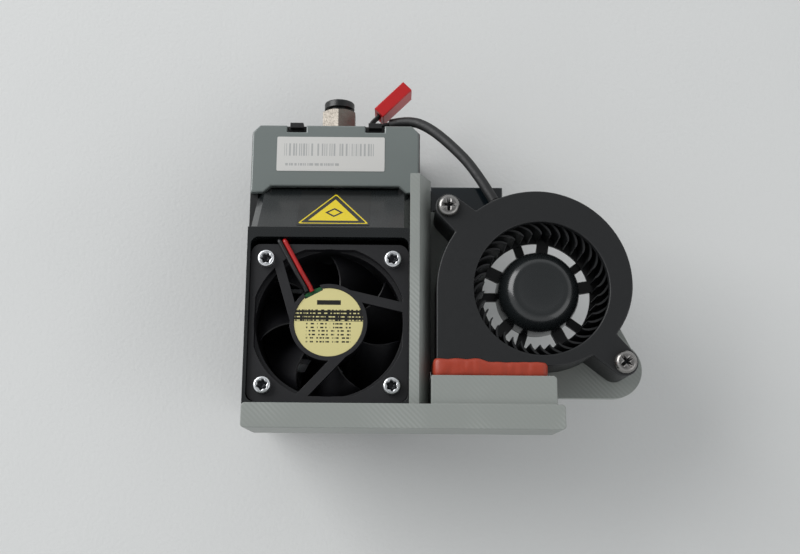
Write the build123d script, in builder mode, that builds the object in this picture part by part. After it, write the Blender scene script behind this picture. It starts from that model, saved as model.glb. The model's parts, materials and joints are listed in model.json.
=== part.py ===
from build123d import *
import os
from math import cos, hypot, radians, sin, tan

os.makedirs("parts", exist_ok=True)

# Print head of a 3-D printer: a boxed hot end with its cooling fan, and a radial blower that
# hangs beside it on a printed bracket and feeds a printed air duct under the nozzle.
#
# The origin lies on the flat back face, straight behind the cooling fan's axis.
# +Z leaves the back face towards the fan's front, +Y points to the filament fitting,
# +X points to the blower. All sizes are millimetres.

# ---------------------------------------------------------------- fits
fit_gap = 0.05            # a piece that is pushed in by hand
running_gap = 0.05        # a shaft in its bearing
hole_gap = 0.2            # a screw in its clearance hole
label_thickness = 0.1

# ---------------------------------------------------------------- cooling fan
fan_size = 40.0           # side of the square frame
fan_thickness = 20.0
fan_hole_inset = 4.0      # from the frame's edge to a screw's axis
fan_bore_wall = 1.3       # thinnest wall round the blades
fan_flat_wall = 1.4       # the same at the flared mouths
fan_flare = 0.9           # how much wider the mouths are at the corners
fan_mouth_depth = 3.0
fan_hub_radius = 9.75
fan_hub_plate = 1.8
fan_label_radius = 8.65
fan_strut_width = 2.4
fan_strut_depth = 1.8
fan_strut_offset = 8.0    # a strut's centre line passes this far from the axis
fan_strut_angle = -13.0
fan_strut_count = 3
fan_blade_count = 7
fan_blade_angle = 17.0
fan_blade_sweep = 46.0    # degrees that one blade covers round the hub
fan_blade_thickness = 1.1
fan_tip_gap = 0.5
fan_corner_radius = 2.5
fan_screw_radius = 1.5
fan_head_radius = 2.2
fan_head_height = 2.0

# ---------------------------------------------------------------- motor parts, fan and blower
shaft_radius = 0.75
bearing_radius = 2.0
bearing_tube_wall = 1.0
rotor_wall = 1.2
magnet_thickness = 1.0
air_gap = 0.6
board_thickness = 1.0

# ---------------------------------------------------------------- module housing
shroud_wall = 0.85        # beside the fan
fan_gap = 0.05            # between the fan's frame and the shroud
shell_wall = 2.1
floor_thickness = 2.0
cover_thickness = 2.0
bay_depth = 24.0          # back face to the fan's back
skirt_depth = 5.0         # how far the shroud reaches into the shell
upper_length = 36.1       # housing beyond the square part that holds the fan
lead_gap = 1.55           # open strip beside the fan for its leads
rim_width = 2.6
rim_height = 1.5
cheek_chamfer = 2.1
duct_wall = 1.2           # skin of the shroud's slope
cover_gap = 0.2
cover_inset = 0.3         # the cover stands back from the shell's edge
cover_tab_drop = 1.8
corner_chamfer = 2.0
notch_depth = 2.2
notch_width = 5.2
notch_offset = 10.7
snap_width = 3.6
snap_proud = 0.4
snap_depth = 1.4
post_radius = 3.0         # under the fan's screws
cover_post_radius = 2.6
cover_screw_radius = 1.0
carriage_spacing_x = 36.0
carriage_spacing_y = 16.0
carriage_hole_radius = 1.25
carriage_hole_depth = 7.0

shroud_half = fan_size / 2 + fan_gap + shroud_wall
body_half = shroud_half + shell_wall
body_top = shroud_half + upper_length
body_bottom = -shroud_half
shell_front = bay_depth + skirt_depth
cover_front = shell_front + cover_thickness
fan_front = bay_depth + fan_thickness
pocket_half = fan_size / 2 + fan_gap
pocket_top = pocket_half + lead_gap
rim_top = pocket_top + rim_width
rim_front = fan_front + rim_height
slope_end = rim_top + fan_front - shell_front
cover_bottom = slope_end + cover_gap
cover_half = body_half - cover_inset
cover_top = body_top - cover_inset
inner_top = body_top - shell_wall
fan_hole = fan_size / 2 - fan_hole_inset
cover_post_x = shroud_half - cover_post_radius + 0.1
cover_post_y = inner_top - cover_post_radius - 0.7
cover_post_front = bay_depth - 4.0

# ---------------------------------------------------------------- filament path
liner_radius = 2.0
filament_bore = 1.0
axis_depth = 8.0          # filament axis behind the fan
core_half = 6.0           # half of the heater block's depth
neck_length = 3.5
thread_radius = 3.0
upper_thread = 6.0
lower_thread = 3.0
neck_radius = 1.5
block_height = 8.0
block_wall = 1.2
cartridge_radius = 3.0
insulation = 1.0
nozzle_flats = 7.0
nozzle_hex = 2.0
nozzle_tip = 2.7
heatsink_lift = 3.0       # ribs that carry the heatsink
fin_thickness = 1.2
fin_pitch = 3.2
wire_radius = 0.7

axis_z = bay_depth - axis_depth
heatsink_bottom = body_bottom + 12.9
heatsink_top = fan_size / 2
heatsink_half = fan_hole - post_radius - 1.0
heatsink_back = floor_thickness + heatsink_lift
heatsink_front = bay_depth - 0.5
block_top = heatsink_bottom - neck_length
block_bottom = block_top - block_height
nozzle_seat = block_top - lower_thread
cartridge_x = thread_radius + block_wall + cartridge_radius
block_left = -thread_radius - 4.0
block_right = cartridge_x + cartridge_radius + block_wall + 0.1
cartridge_y = (block_top + block_bottom) / 2
tip_y = block_bottom - nozzle_hex - nozzle_tip

# ---------------------------------------------------------------- push-fit fitting
fitting_wall = 1.3
fitting_hex_length = 8.6
shank_length = 8.0
seal_thickness = 1.6
collar_thickness = 2.1
collar_lift = 1.0         # gap under the collar at rest
collet_travel = 0.9
boss_length = 7.9

shank_radius = liner_radius + 1.0
chamber_radius = liner_radius + 1.3
fitting_flats = 2 * (chamber_radius + fitting_wall)
fitting_top = body_top + fitting_hex_length
chamber_start = body_top + 1.0
collar_radius = chamber_radius + 1.0
boss_start = inner_top - boss_length

# ---------------------------------------------------------------- control board
board_start = fan_size / 2 + 7.0
board_half = 14.0
board_lift = 2.0
board_end_gap = 2.0
board_plate = 1.6
board_screw_radius = 0.9
contact_half = 8.0
contact_depth = 5.0

board_end = boss_start - board_end_gap
board_back = floor_thickness + board_lift
board_front = board_back + board_plate
board_hole_x = board_half - 2.5
board_hole_low = board_start + 4.0
board_hole_high = board_end - 3.0
board_wire_x = board_half - 2.8
contact_y = (board_start + board_end) / 2 - 2.0
carriage_y = (board_start + boss_start) / 2

# ---------------------------------------------------------------- printed bracket and duct
wall_front = 49.5         # the bracket's upright edge
wall_lip = 0.6            # it hooks over the shroud's rim
wall_face = 1.8           # width of its flat front edge beyond the shroud
wall_slope = 7.0
wall_thickness = 2.6      # beside the shell
wall_back = 12.0
wall_top = cover_bottom - cover_tab_drop - 0.2
plate_thickness = 3.0
duct_height = 6.0
duct_front = 52.0
duct_depth = 20.0
duct_skin = 1.2
duct_end = 57.8
sleeve_front_step = 1.0
sleeve_height = 7.0
sleeve_top = body_bottom + sleeve_height
outlet_drop = 2.5         # height of the channel that blows on the nozzle
outlet_side_gap = 1.0     # beside the channel, in the housing's opening
nozzle_clear = 2.0

wall_outer = body_half + wall_thickness
duct_back = duct_front - duct_depth
outlet_half = fan_hole - outlet_side_gap

# ---------------------------------------------------------------- blower
impeller_radius = 17.4
impeller_blades = 38
blade_chord = 3.6
blade_plate = 0.55
blade_tilt = 35.0
blade_ring = 1.2          # the disc that carries the blades
impeller_arms = 5
arm_width = 2.4
arm_plate = 1.6
hub_skin = 0.7            # over the shaft's end
blower_thickness = 15.0
blower_wall = 1.3
blower_skin = 1.2         # the cover's thickness
tongue_gap = 0.8
blower_gap = 1.3          # between the upright wall and the volute
blower_hub_radius = 10.5
blower_inlet_radius = 16.8
blower_rear_radius = 16.0
outlet_width = 26.6
outlet_reach = 2.1        # how far the outlet enters the sleeve
ear_radius = 3.3
ear_margin = 2.6          # bracket beyond the upper ear's axis
bracket_rim = 2.0         # bracket's disc beyond the volute
bracket_hole_gap = 1.0    # its hole beyond the blower's rear opening
ear_web_reach = 0.36      # share of the way from an ear to the blower's axis
ear_web_spread = 1.3      # how much wider its web is at the volute
ear_screw_radius = 1.5
ear_head_radius = 2.8
ear_head_height = 2.0
tape_thickness = 0.7
tape_width = 2.6
blower_lift = 0.1         # the volute's lowest point above the tape

volute_start = impeller_radius + tongue_gap + blower_wall
volute_growth = (0.0, 3.1, 5.3, 6.6)    # at a quarter turn each, beyond the start radius
blower_back = duct_back + 2.0
blower_front = blower_back + blower_thickness
blower_x = wall_outer + blower_gap + volute_start + volute_growth[3]
blower_y = sleeve_top + tape_width + blower_lift + volute_start
outlet_left = wall_outer + blower_gap
outlet_right = outlet_left + outlet_width
outlet_end = sleeve_top - outlet_reach
plate_back = blower_back - plate_thickness
ears = [(blower_x - volute_start - 3.6, blower_y + volute_start + 1.1),
        (blower_x + volute_start + 0.5, blower_y - volute_start + 1.0)]
bracket_top = ears[0][1] + ear_margin
sleeve_front = duct_front - sleeve_front_step
sleeve_gap = 0.2
sleeve_left_wall = wall_outer
sleeve_right = outlet_right + 2.5

# ================================================================ module housing
with BuildPart() as rear_shell:
    with BuildSketch(Plane.XY):
        with Locations((0, (body_top + body_bottom) / 2)):
            Rectangle(2 * body_half, body_top - body_bottom)
        chamfer(vertices().group_by(Axis.Y)[-1], corner_chamfer)
    extrude(amount=shell_front)
    with BuildSketch(Plane.XY.offset(floor_thickness)):
        with Locations((0, (inner_top + body_bottom + shell_wall) / 2)):
            Rectangle(2 * shroud_half, inner_top - body_bottom - shell_wall)
        chamfer(vertices().group_by(Axis.Y)[-1], corner_chamfer)
    extrude(amount=shell_front, mode=Mode.SUBTRACT)
    # the wall under the fan stops at the fan's back, and opens for the heater
    with Locations((0, body_bottom, bay_depth)):
        Box(2 * shroud_half, 3 * shell_wall, 2 * skirt_depth, mode=Mode.SUBTRACT,
            align=(Align.CENTER, Align.CENTER, Align.MIN))
    with Locations((0, body_bottom, axis_z - core_half - 4.0)):
        Box(2 * (fan_hole - post_radius), 3 * shell_wall, 2 * bay_depth, mode=Mode.SUBTRACT,
            align=(Align.CENTER, Align.CENTER, Align.MIN))
    # posts: under the fan, under the cover and for the carriage's screws
    with BuildSketch(Plane.XY.offset(floor_thickness)):
        with GridLocations(2 * fan_hole, 2 * fan_hole, 2, 2):
            Circle(post_radius)
    extrude(amount=bay_depth - floor_thickness)
    with BuildSketch(Plane.XY.offset(floor_thickness)):
        with Locations((-cover_post_x, cover_post_y), (cover_post_x, cover_post_y)):
            Circle(cover_post_radius)
    extrude(amount=cover_post_front - floor_thickness)
    with BuildSketch(Plane.XY.offset(floor_thickness)):
        with Locations((0, carriage_y)):
            with GridLocations(carriage_spacing_x, carriage_spacing_y, 2, 2):
                Circle(post_radius)
    extrude(amount=carriage_hole_depth)
    # ribs under the heatsink and pads under the control board
    with BuildSketch(Plane.XY.offset(floor_thickness)):
        with Locations((0, (heatsink_bottom + heatsink_top) / 2)):
            with GridLocations(2 * (heatsink_half - 4.0), 0, 2, 1):
                Rectangle(2.0, heatsink_top - heatsink_bottom)
    extrude(amount=heatsink_lift)
    with BuildSketch(Plane.XY.offset(floor_thickness)):
        with Locations((-board_hole_x, board_hole_low), (board_hole_x, board_hole_low),
                       (-board_hole_x, board_hole_high), (board_hole_x, board_hole_high)):
            Circle(2.0)
    extrude(amount=board_lift)
    # block that holds the fitting's thread
    with Locations((0, boss_start, floor_thickness)):
        Box(2 * (shank_radius + 3.0), boss_length + 0.1, axis_z + shank_radius + 2.0 - floor_thickness,
            align=(Align.CENTER, Align.MIN, Align.MIN))
    with BuildSketch(Plane.XZ.offset(-body_top - 1.0)):
        with Locations((0, axis_z)):
            Circle(shank_radius)
    extrude(amount=boss_length + shell_wall + 2.0, mode=Mode.SUBTRACT)
    # screw holes
    with Locations((0, 0, bay_depth)):
        with GridLocations(2 * fan_hole, 2 * fan_hole, 2, 2):
            Cylinder(fan_screw_radius, 10.0, mode=Mode.SUBTRACT,
                     align=(Align.CENTER, Align.CENTER, Align.MAX))
    with Locations((-cover_post_x, cover_post_y, 0), (cover_post_x, cover_post_y, 0)):
        Cylinder(cover_screw_radius + 0.1, 2 * bay_depth, mode=Mode.SUBTRACT)
        Cylinder(2.1, 1.8, mode=Mode.SUBTRACT, align=(Align.CENTER, Align.CENTER, Align.MIN))
    with Locations((0, carriage_y, 0)):
        with GridLocations(carriage_spacing_x, carriage_spacing_y, 2, 2):
            Cylinder(carriage_hole_radius, carriage_hole_depth, mode=Mode.SUBTRACT,
                     align=(Align.CENTER, Align.CENTER, Align.MIN))
    with Locations(*[(x, y, board_back) for x in (-board_hole_x, board_hole_x)
                     for y in (board_hole_low, board_hole_high)]):
        Cylinder(board_screw_radius, 2.5, mode=Mode.SUBTRACT,
                 align=(Align.CENTER, Align.CENTER, Align.MAX))
    # window for the contact block
    with Locations((0, contact_y, floor_thickness / 2)):
        Box(2 * contact_half + 0.6, contact_depth + 0.6, 2 * floor_thickness, mode=Mode.SUBTRACT)
    # two snap tabs that stand in the cover's notches
    with Locations((-notch_offset, body_top + snap_proud, shell_front - 7.0),
                   (notch_offset, body_top + snap_proud, shell_front - 7.0)):
        Box(snap_width, snap_depth, 7.0 + cover_thickness,
            align=(Align.CENTER, Align.MAX, Align.MIN))
rear_shell.part.label = "rear_shell"
export_step(rear_shell.part, "parts/rear_shell.step")

tab_end = cover_bottom - cover_tab_drop
tab_inner = cover_half - 3.4
tab_slope = 2.0
with BuildPart() as front_cover:
    with BuildSketch(Plane.XY.offset(shell_front)):
        with BuildLine():
            Polyline((-cover_half, tab_end), (-tab_inner, tab_end), (-tab_inner + tab_slope, cover_bottom),
                     (tab_inner - tab_slope, cover_bottom), (tab_inner, tab_end), (cover_half, tab_end),
                     (cover_half, cover_top - corner_chamfer), (cover_half - corner_chamfer, cover_top),
                     (-cover_half + corner_chamfer, cover_top), (-cover_half, cover_top - corner_chamfer),
                     close=True)
        make_face()
        with Locations((-notch_offset, body_top), (notch_offset, body_top)):
            Rectangle(notch_width, 2 * notch_depth, mode=Mode.SUBTRACT)
    extrude(amount=cover_thickness)
    chamfer(faces().sort_by(Axis.Z)[-1].edges(), 0.3)
    with BuildSketch(Plane.XY.offset(cover_post_front)):
        with Locations((-cover_post_x, cover_post_y), (cover_post_x, cover_post_y)):
            Circle(cover_post_radius - 0.2)
            Circle(cover_screw_radius, mode=Mode.SUBTRACT)
    extrude(amount=shell_front - cover_post_front)
front_cover.part.label = "front_cover"
export_step(front_cover.part, "parts/front_cover.step")

with BuildPart() as shell_screws:
    with Locations((-cover_post_x, cover_post_y, 0.3), (cover_post_x, cover_post_y, 0.3)):
        Cylinder(1.9, 1.5, align=(Align.CENTER, Align.CENTER, Align.MIN))
        Cylinder(cover_screw_radius, shell_front - 2.0, align=(Align.CENTER, Align.CENTER, Align.MIN))
        Box(2.4, 0.6, 1.0, mode=Mode.SUBTRACT)
        Box(0.6, 2.4, 1.0, mode=Mode.SUBTRACT)
shell_screws.part.label = "shell_screws"
export_step(shell_screws.part, "parts/shell_screws.step")

with BuildPart() as fan_shroud:
    with BuildSketch(Plane.YZ.offset(-shroud_half)):
        with BuildLine():
            Polyline((body_bottom, bay_depth), (slope_end, bay_depth), (slope_end, shell_front),
                     (rim_top, fan_front), (rim_top, rim_front), (body_bottom, rim_front), close=True)
        make_face()
    extrude(amount=2 * shroud_half)
    slope_face = faces().filter_by(lambda f: abs(f.normal_at().Y - f.normal_at().Z) < 0.01
                                   and f.normal_at().Y > 0.5)
    chamfer(slope_face.edges().filter_by(lambda e: abs(e.tangent_at(0.5).X) < 0.01), cheek_chamfer)
    # the pocket that holds the fan
    with BuildSketch(Plane.XY.offset(bay_depth - 1.0)):
        with Locations((0, (pocket_top - pocket_half) / 2)):
            RectangleRounded(2 * pocket_half, pocket_top + pocket_half, fan_corner_radius - 0.5)
    extrude(amount=rim_front, mode=Mode.SUBTRACT)
    # the hollow under the slope
    skin_shift = duct_wall / sin(radians(45))
    slope_sum = rim_top + fan_front - skin_shift
    hollow_start = pocket_top + 1.4
    hollow_end = slope_end - 2.2
    with BuildSketch(Plane.YZ.offset(-shroud_half + cheek_chamfer - 0.2)):
        with BuildLine():
            Polyline((hollow_start, bay_depth - 1.0), (hollow_end, bay_depth - 1.0),
                     (hollow_end, slope_sum - hollow_end), (hollow_start, slope_sum - hollow_start),
                     close=True)
        make_face()
    extrude(amount=2 * (shroud_half - cheek_chamfer + 0.2), mode=Mode.SUBTRACT)
    # a gate through the inner wall lets the fan's leads and air through
    with Locations((0, pocket_top + 0.7, bay_depth)):
        Box(2 * pocket_half - 6.0, 3.0, 2 * skirt_depth, mode=Mode.SUBTRACT)
    # reliefs for the cover's lower corners
    with Locations((-shroud_half, cover_bottom - cover_tab_drop - 0.1, shell_front),
                   (shroud_half, cover_bottom - cover_tab_drop - 0.1, shell_front)):
        Box(2 * (shroud_half - cover_half + 5.6), 3.0, 3.0, mode=Mode.SUBTRACT,
            align=(Align.CENTER, Align.MIN, Align.MIN))
fan_shroud.part.label = "fan_shroud"
export_step(fan_shroud.part, "parts/fan_shroud.step")

with BuildPart() as id_label:
    label_low = cover_bottom + 4.2
    label_high = body_top - 3.7
    with BuildSketch(Plane.XY.offset(cover_front)):
        with Locations((-1.25, (label_low + label_high) / 2)):
            RectangleRounded(29.3, label_high - label_low, 0.4)
    extrude(amount=label_thickness)
id_label.part.label = "id_label"
export_step(id_label.part, "parts/id_label.step")

slope_length = hypot(slope_end - rim_top, fan_front - shell_front)
slope_plane = Plane(origin=(0.5, (rim_top + slope_end) / 2, (fan_front + shell_front) / 2),
                    x_dir=(1, 0, 0), z_dir=(0, 1, 1))
with BuildPart() as caution_label:
    with BuildSketch(slope_plane):
        RectangleRounded(18.8, slope_length - 3.0, 0.5)
    extrude(amount=label_thickness)
caution_label.part.label = "caution_label"
export_step(caution_label.part, "parts/caution_label.step")

# ================================================================ cooling fan
fan_bore = fan_size / 2 - fan_bore_wall
fan_tip = fan_bore - fan_tip_gap
hub_back = fan_front - fan_hub_plate
fan_board_back = hub_back - board_thickness
tube_radius = bearing_radius + bearing_tube_wall
fan_tube_back = bay_depth + 4.8
rotor_radius = fan_hub_radius - 0.35
rotor_back = bay_depth + 2.0
rotor_front = fan_board_back - 0.3
magnet_outer = rotor_radius - rotor_wall
magnet_inner = magnet_outer - magnet_thickness
stator_radius = magnet_inner - air_gap

with BuildPart() as fan_frame:
    with BuildSketch(Plane.XY.offset(bay_depth)):
        RectangleRounded(fan_size, fan_size, fan_corner_radius)
    extrude(amount=fan_thickness)
    with BuildSketch(Plane.XY.offset(bay_depth)):
        Circle(fan_bore)
    extrude(amount=fan_thickness, mode=Mode.SUBTRACT)
    for mouth in (bay_depth, fan_front - fan_mouth_depth):
        with BuildSketch(Plane.XY.offset(mouth)):
            Circle(fan_bore + fan_flare)
            RectangleRounded(fan_size - 2 * fan_flat_wall, fan_size - 2 * fan_flat_wall, 1.0,
                             mode=Mode.INTERSECT)
        extrude(amount=fan_mouth_depth, mode=Mode.SUBTRACT)
    with BuildSketch(Plane.XY.offset(fan_front - fan_strut_depth)):
        with BuildSketch(mode=Mode.PRIVATE) as strut_bars:
            for index in range(fan_strut_count):
                with Locations(Rotation(0, 0, fan_strut_angle + index * 360 / fan_strut_count)):
                    with Locations((fan_size / 2, fan_strut_offset)):
                        Rectangle(fan_size, fan_strut_width)
        with BuildSketch(mode=Mode.PRIVATE) as strut_limit:
            Circle(fan_bore + fan_flare + 0.2)
            Rectangle(fan_size - 1.0, fan_size - 1.0, mode=Mode.INTERSECT)
        add(strut_bars.sketch & strut_limit.sketch)
    extrude(amount=fan_strut_depth)
    with Locations((0, 0, hub_back)):
        Cylinder(fan_hub_radius, fan_hub_plate, align=(Align.CENTER, Align.CENTER, Align.MIN))
    with Locations((0, 0, fan_tube_back)):
        Cylinder(tube_radius, hub_back - fan_tube_back, align=(Align.CENTER, Align.CENTER, Align.MIN))
        Cylinder(bearing_radius, hub_back - fan_tube_back, mode=Mode.SUBTRACT,
                 align=(Align.CENTER, Align.CENTER, Align.MIN))
    with Locations((0, 0, fan_front)):
        Cylinder(fan_label_radius + 0.1, 2 * 0.3, mode=Mode.SUBTRACT)
    # the hub's rim is open where the leads leave the circuit board
    with Locations(Rotation(0, 0, 118)):
        with Locations((fan_hub_radius, 0, fan_front)):
            Box(3.2, 4.6, 4 * fan_hub_plate, mode=Mode.SUBTRACT)
    with Locations((0, 0, bay_depth)):
        with GridLocations(2 * fan_hole, 2 * fan_hole, 2, 2):
            Cylinder(fan_screw_radius + hole_gap, 3 * fan_thickness, mode=Mode.SUBTRACT)
fan_frame.part.label = "fan_frame"
export_step(fan_frame.part, "parts/fan_frame.step")

with BuildPart() as fan_label:
    with BuildSketch(Plane.XY.offset(fan_front - 0.3)):
        Circle(fan_label_radius)
    extrude(amount=label_thickness)
    with Locations(Rotation(0, 0, 118)):
        with Locations((fan_hub_radius, 0, fan_front)):
            Box(3.6, 5.0, 2.0, mode=Mode.SUBTRACT)
fan_label.part.label = "fan_label"
export_step(fan_label.part, "parts/fan_label.step")

with BuildPart() as fan_circuit_board:
    with BuildSketch(Plane.XY.offset(fan_board_back)):
        Circle(fan_hub_radius - 0.25)
        Circle(tube_radius, mode=Mode.SUBTRACT)
    extrude(amount=board_thickness)
fan_circuit_board.part.label = "fan_circuit_board"
export_step(fan_circuit_board.part, "parts/fan_circuit_board.step")


def wound_core(core_radius, bore_radius, low, high):
    """Four coils on a laminated core that is pressed on the bearing tube."""
    with BuildPart() as core:
        with BuildSketch(Plane.XY.offset(low)):
            Circle(core_radius)
            with PolarLocations(core_radius, 4, start_angle=45):
                Rectangle(core_radius * 0.7, 1.4, mode=Mode.SUBTRACT)
            Circle(bore_radius, mode=Mode.SUBTRACT)
        extrude(amount=high - low)
    return core.part


def sleeve_ring(outer, inner, low, high):
    """A plain ring about the Z axis."""
    with BuildPart() as ring:
        with BuildSketch(Plane.XY.offset(low)):
            Circle(outer)
            Circle(inner, mode=Mode.SUBTRACT)
        extrude(amount=high - low)
    return ring.part


with BuildPart() as fan_stator:
    add(wound_core(stator_radius, tube_radius, rotor_back + 5.0, fan_board_back))
fan_stator.part.label = "fan_stator"
export_step(fan_stator.part, "parts/fan_stator.step")

with BuildPart() as fan_bearings:
    add(sleeve_ring(bearing_radius, shaft_radius + running_gap, fan_tube_back, fan_tube_back + 2.5))
    add(sleeve_ring(bearing_radius, shaft_radius + running_gap, hub_back - 4.0, hub_back - 1.5))
fan_bearings.part.label = "fan_bearings"
export_step(fan_bearings.part, "parts/fan_bearings.step")

with BuildPart() as fan_magnet:
    add(sleeve_ring(magnet_outer, magnet_inner, rotor_back + 3.0, rotor_front - 0.6))
fan_magnet.part.label = "fan_magnet"
export_step(fan_magnet.part, "parts/fan_magnet.step")

with BuildPart() as fan_shaft:
    with Locations((0, 0, rotor_back + 0.3)):
        Cylinder(shaft_radius, hub_back - 1.0 - rotor_back, align=(Align.CENTER, Align.CENTER, Align.MIN))
fan_shaft.part.label = "fan_shaft"
export_step(fan_shaft.part, "parts/fan_shaft.step")

blade_low = bay_depth + 3.0
blade_high = fan_front - fan_strut_depth - 1.5
with BuildPart() as fan_rotor:
    add(sleeve_ring(rotor_radius, shaft_radius, rotor_back, rotor_back + 1.5))
    add(sleeve_ring(rotor_radius, magnet_outer, rotor_back, rotor_front))
    add(sleeve_ring(bearing_radius, shaft_radius, rotor_back, rotor_back + 2.4))
    for index in range(fan_blade_count):
        blade_turn = Rotation(0, 0, fan_blade_angle - fan_blade_sweep / 2 + index * 360 / fan_blade_count)
        for reach in (rotor_radius - 0.6, fan_tip):
            half_chord = reach * radians(fan_blade_sweep) / 2
            station = Plane(origin=(reach, 0, 0), x_dir=(0, 1, 0), z_dir=(1, 0, 0))
            with BuildSketch(Plane(Location(blade_turn) * station.location)):
                with BuildLine():
                    Polyline((-half_chord, blade_low), (-half_chord + 2 * fan_blade_thickness, blade_low),
                             (half_chord, blade_high), (half_chord - 2 * fan_blade_thickness, blade_high),
                             close=True)
                make_face()
        loft(ruled=True)
    with BuildSketch(Plane.XY.offset(rotor_back)):
        Circle(fan_tip)
    extrude(amount=fan_thickness, mode=Mode.INTERSECT)
fan_rotor.part.label = "fan_rotor"
export_step(fan_rotor.part, "parts/fan_rotor.step")


with BuildPart() as fan_screws:
    with Locations((0, 0, fan_front)):
        with GridLocations(2 * fan_hole, 2 * fan_hole, 2, 2):
            Cylinder(fan_head_radius, fan_head_height, align=(Align.CENTER, Align.CENTER, Align.MIN))
    fillet(edges().group_by(Axis.Z)[-1], 0.5)
    with Locations((0, 0, fan_front)):
        with GridLocations(2 * fan_hole, 2 * fan_hole, 2, 2):
            Cylinder(fan_screw_radius, fan_thickness + 8.0, align=(Align.CENTER, Align.CENTER, Align.MAX))
    with BuildSketch(Plane.XY.offset(fan_front + fan_head_height)):
        with GridLocations(2 * fan_hole, 2 * fan_hole, 2, 2):
            Circle(0.95)
            with PolarLocations(0.95, 6):
                Circle(0.32)
    extrude(amount=-1.3, mode=Mode.SUBTRACT)
fan_screws.part.label = "fan_screws"
export_step(fan_screws.part, "parts/fan_screws.step")


def round_wire(points, radii, radius):
    """A round wire of straight runs joined by tangent arcs."""
    with BuildPart() as wire:
        with BuildLine() as route:
            FilletPolyline(*points, radius=radii)
        with BuildSketch(Plane(origin=route.line @ 0, z_dir=route.line % 0)):
            Circle(radius)
        sweep(path=route.line)
    return wire.part


lead_radius = 0.55
lead_y = (fan_size / 2 + pocket_top) / 2
lead_board_y = board_start + 4.2
for lead_name, lead_shift in (("fan_lead_red", 0.0), ("fan_lead_black", -1.4)):
    with BuildPart() as fan_lead:
        add(round_wire([(-4.4 + lead_shift, 8.0, hub_back + lead_radius),
                        (-4.9 + lead_shift, 9.2, hub_back + 0.7),
                        (-7.0 + lead_shift, 12.6, fan_front + 0.75),
                        (-11.55 + lead_shift, lead_y, fan_front + 0.85),
                        (-11.6 + lead_shift, lead_y, bay_depth - 6.0),
                        (-5.6 + lead_shift, lead_board_y, bay_depth - 13.0),
                        (-5.6 + lead_shift, lead_board_y, board_front)],
                       [0.6, 1.5, 0.6, 2.5, 2.5], lead_radius))
    fan_lead.part.label = lead_name
    export_step(fan_lead.part, "parts/" + lead_name + ".step")

# ================================================================ filament path
with BuildPart() as heatsink:
    with BuildSketch(Plane.XZ.offset(-heatsink_top)):
        with Locations((0, axis_z)):
            Circle(core_half)
    extrude(amount=heatsink_top - heatsink_bottom)
    fin_count = int((heatsink_top - heatsink_bottom - fin_thickness) / fin_pitch) + 1
    for index in range(fin_count):
        with Locations((0, heatsink_bottom + index * fin_pitch, heatsink_back)):
            Box(2 * heatsink_half, fin_thickness, heatsink_front - heatsink_back,
                align=(Align.CENTER, Align.MIN, Align.MIN))
    with BuildSketch(Plane.XZ.offset(-heatsink_top - 1.0)):
        with Locations((0, axis_z)):
            Circle(liner_radius + 0.1)
    extrude(amount=3 * upper_length, mode=Mode.SUBTRACT)
    with BuildSketch(Plane.XZ.offset(-heatsink_bottom - upper_thread)):
        with Locations((0, axis_z)):
            Circle(thread_radius)
    extrude(amount=upper_thread + 1.0, mode=Mode.SUBTRACT)
    with Locations((0, heatsink_bottom + upper_thread / 2, axis_z + thread_radius)):
        Cylinder(1.5, 2 * axis_depth, mode=Mode.SUBTRACT, align=(Align.CENTER, Align.CENTER, Align.MIN))
heatsink.part.label = "heatsink"
export_step(heatsink.part, "parts/heatsink.step")

with BuildPart() as set_screw:
    with Locations((0, heatsink_bottom + upper_thread / 2, axis_z + thread_radius)):
        Cylinder(1.5, core_half - thread_radius, align=(Align.CENTER, Align.CENTER, Align.MIN))
    with BuildSketch(Plane.XY.offset(axis_z + core_half)):
        with Locations((0, heatsink_bottom + upper_thread / 2)):
            RegularPolygon(0.8, 6)
    extrude(amount=-1.5, mode=Mode.SUBTRACT)
set_screw.part.label = "set_screw"
export_step(set_screw.part, "parts/set_screw.step")


def turned(profile):
    """A turned piece about the filament axis, from pairs of radius and height along Y."""
    with BuildPart() as piece:
        with BuildSketch(Plane(origin=(0, 0, axis_z), x_dir=(1, 0, 0), z_dir=(0, 0, 1))):
            with BuildLine():
                Polyline(*profile, close=True)
            make_face()
        revolve(axis=Axis((0, 0, axis_z), (0, 1, 0)))
    return piece.part


thread_top = heatsink_bottom + upper_thread
with BuildPart() as ptfe_liner:
    add(turned([(filament_bore, thread_top), (liner_radius, thread_top),
                (liner_radius, body_top - 1.0), (filament_bore, body_top - 1.0)]))
ptfe_liner.part.label = "ptfe_liner"
export_step(ptfe_liner.part, "parts/ptfe_liner.step")

with BuildPart() as heatbreak:
    add(turned([(filament_bore, nozzle_seat), (thread_radius, nozzle_seat), (thread_radius, block_top),
            (neck_radius, block_top), (neck_radius, heatsink_bottom), (thread_radius, heatsink_bottom),
            (thread_radius, thread_top), (filament_bore, thread_top)]))
heatbreak.part.label = "heatbreak"
export_step(heatbreak.part, "parts/heatbreak.step")

with BuildPart() as nozzle:
    add(turned([(filament_bore, nozzle_seat), (thread_radius, nozzle_seat), (thread_radius, block_bottom),
            (2.6, block_bottom - nozzle_hex), (0.6, tip_y), (0.2, tip_y), (0.2, tip_y + 0.8),
            (filament_bore, tip_y + 2.0)]))
    with BuildSketch(Plane.XZ.offset(-block_bottom)):
        with Locations((0, axis_z)):
            RegularPolygon(nozzle_flats / 2, 6, major_radius=False)
            Circle(filament_bore, mode=Mode.SUBTRACT)
    extrude(amount=nozzle_hex)
nozzle.part.label = "nozzle"
export_step(nozzle.part, "parts/nozzle.step")

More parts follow.
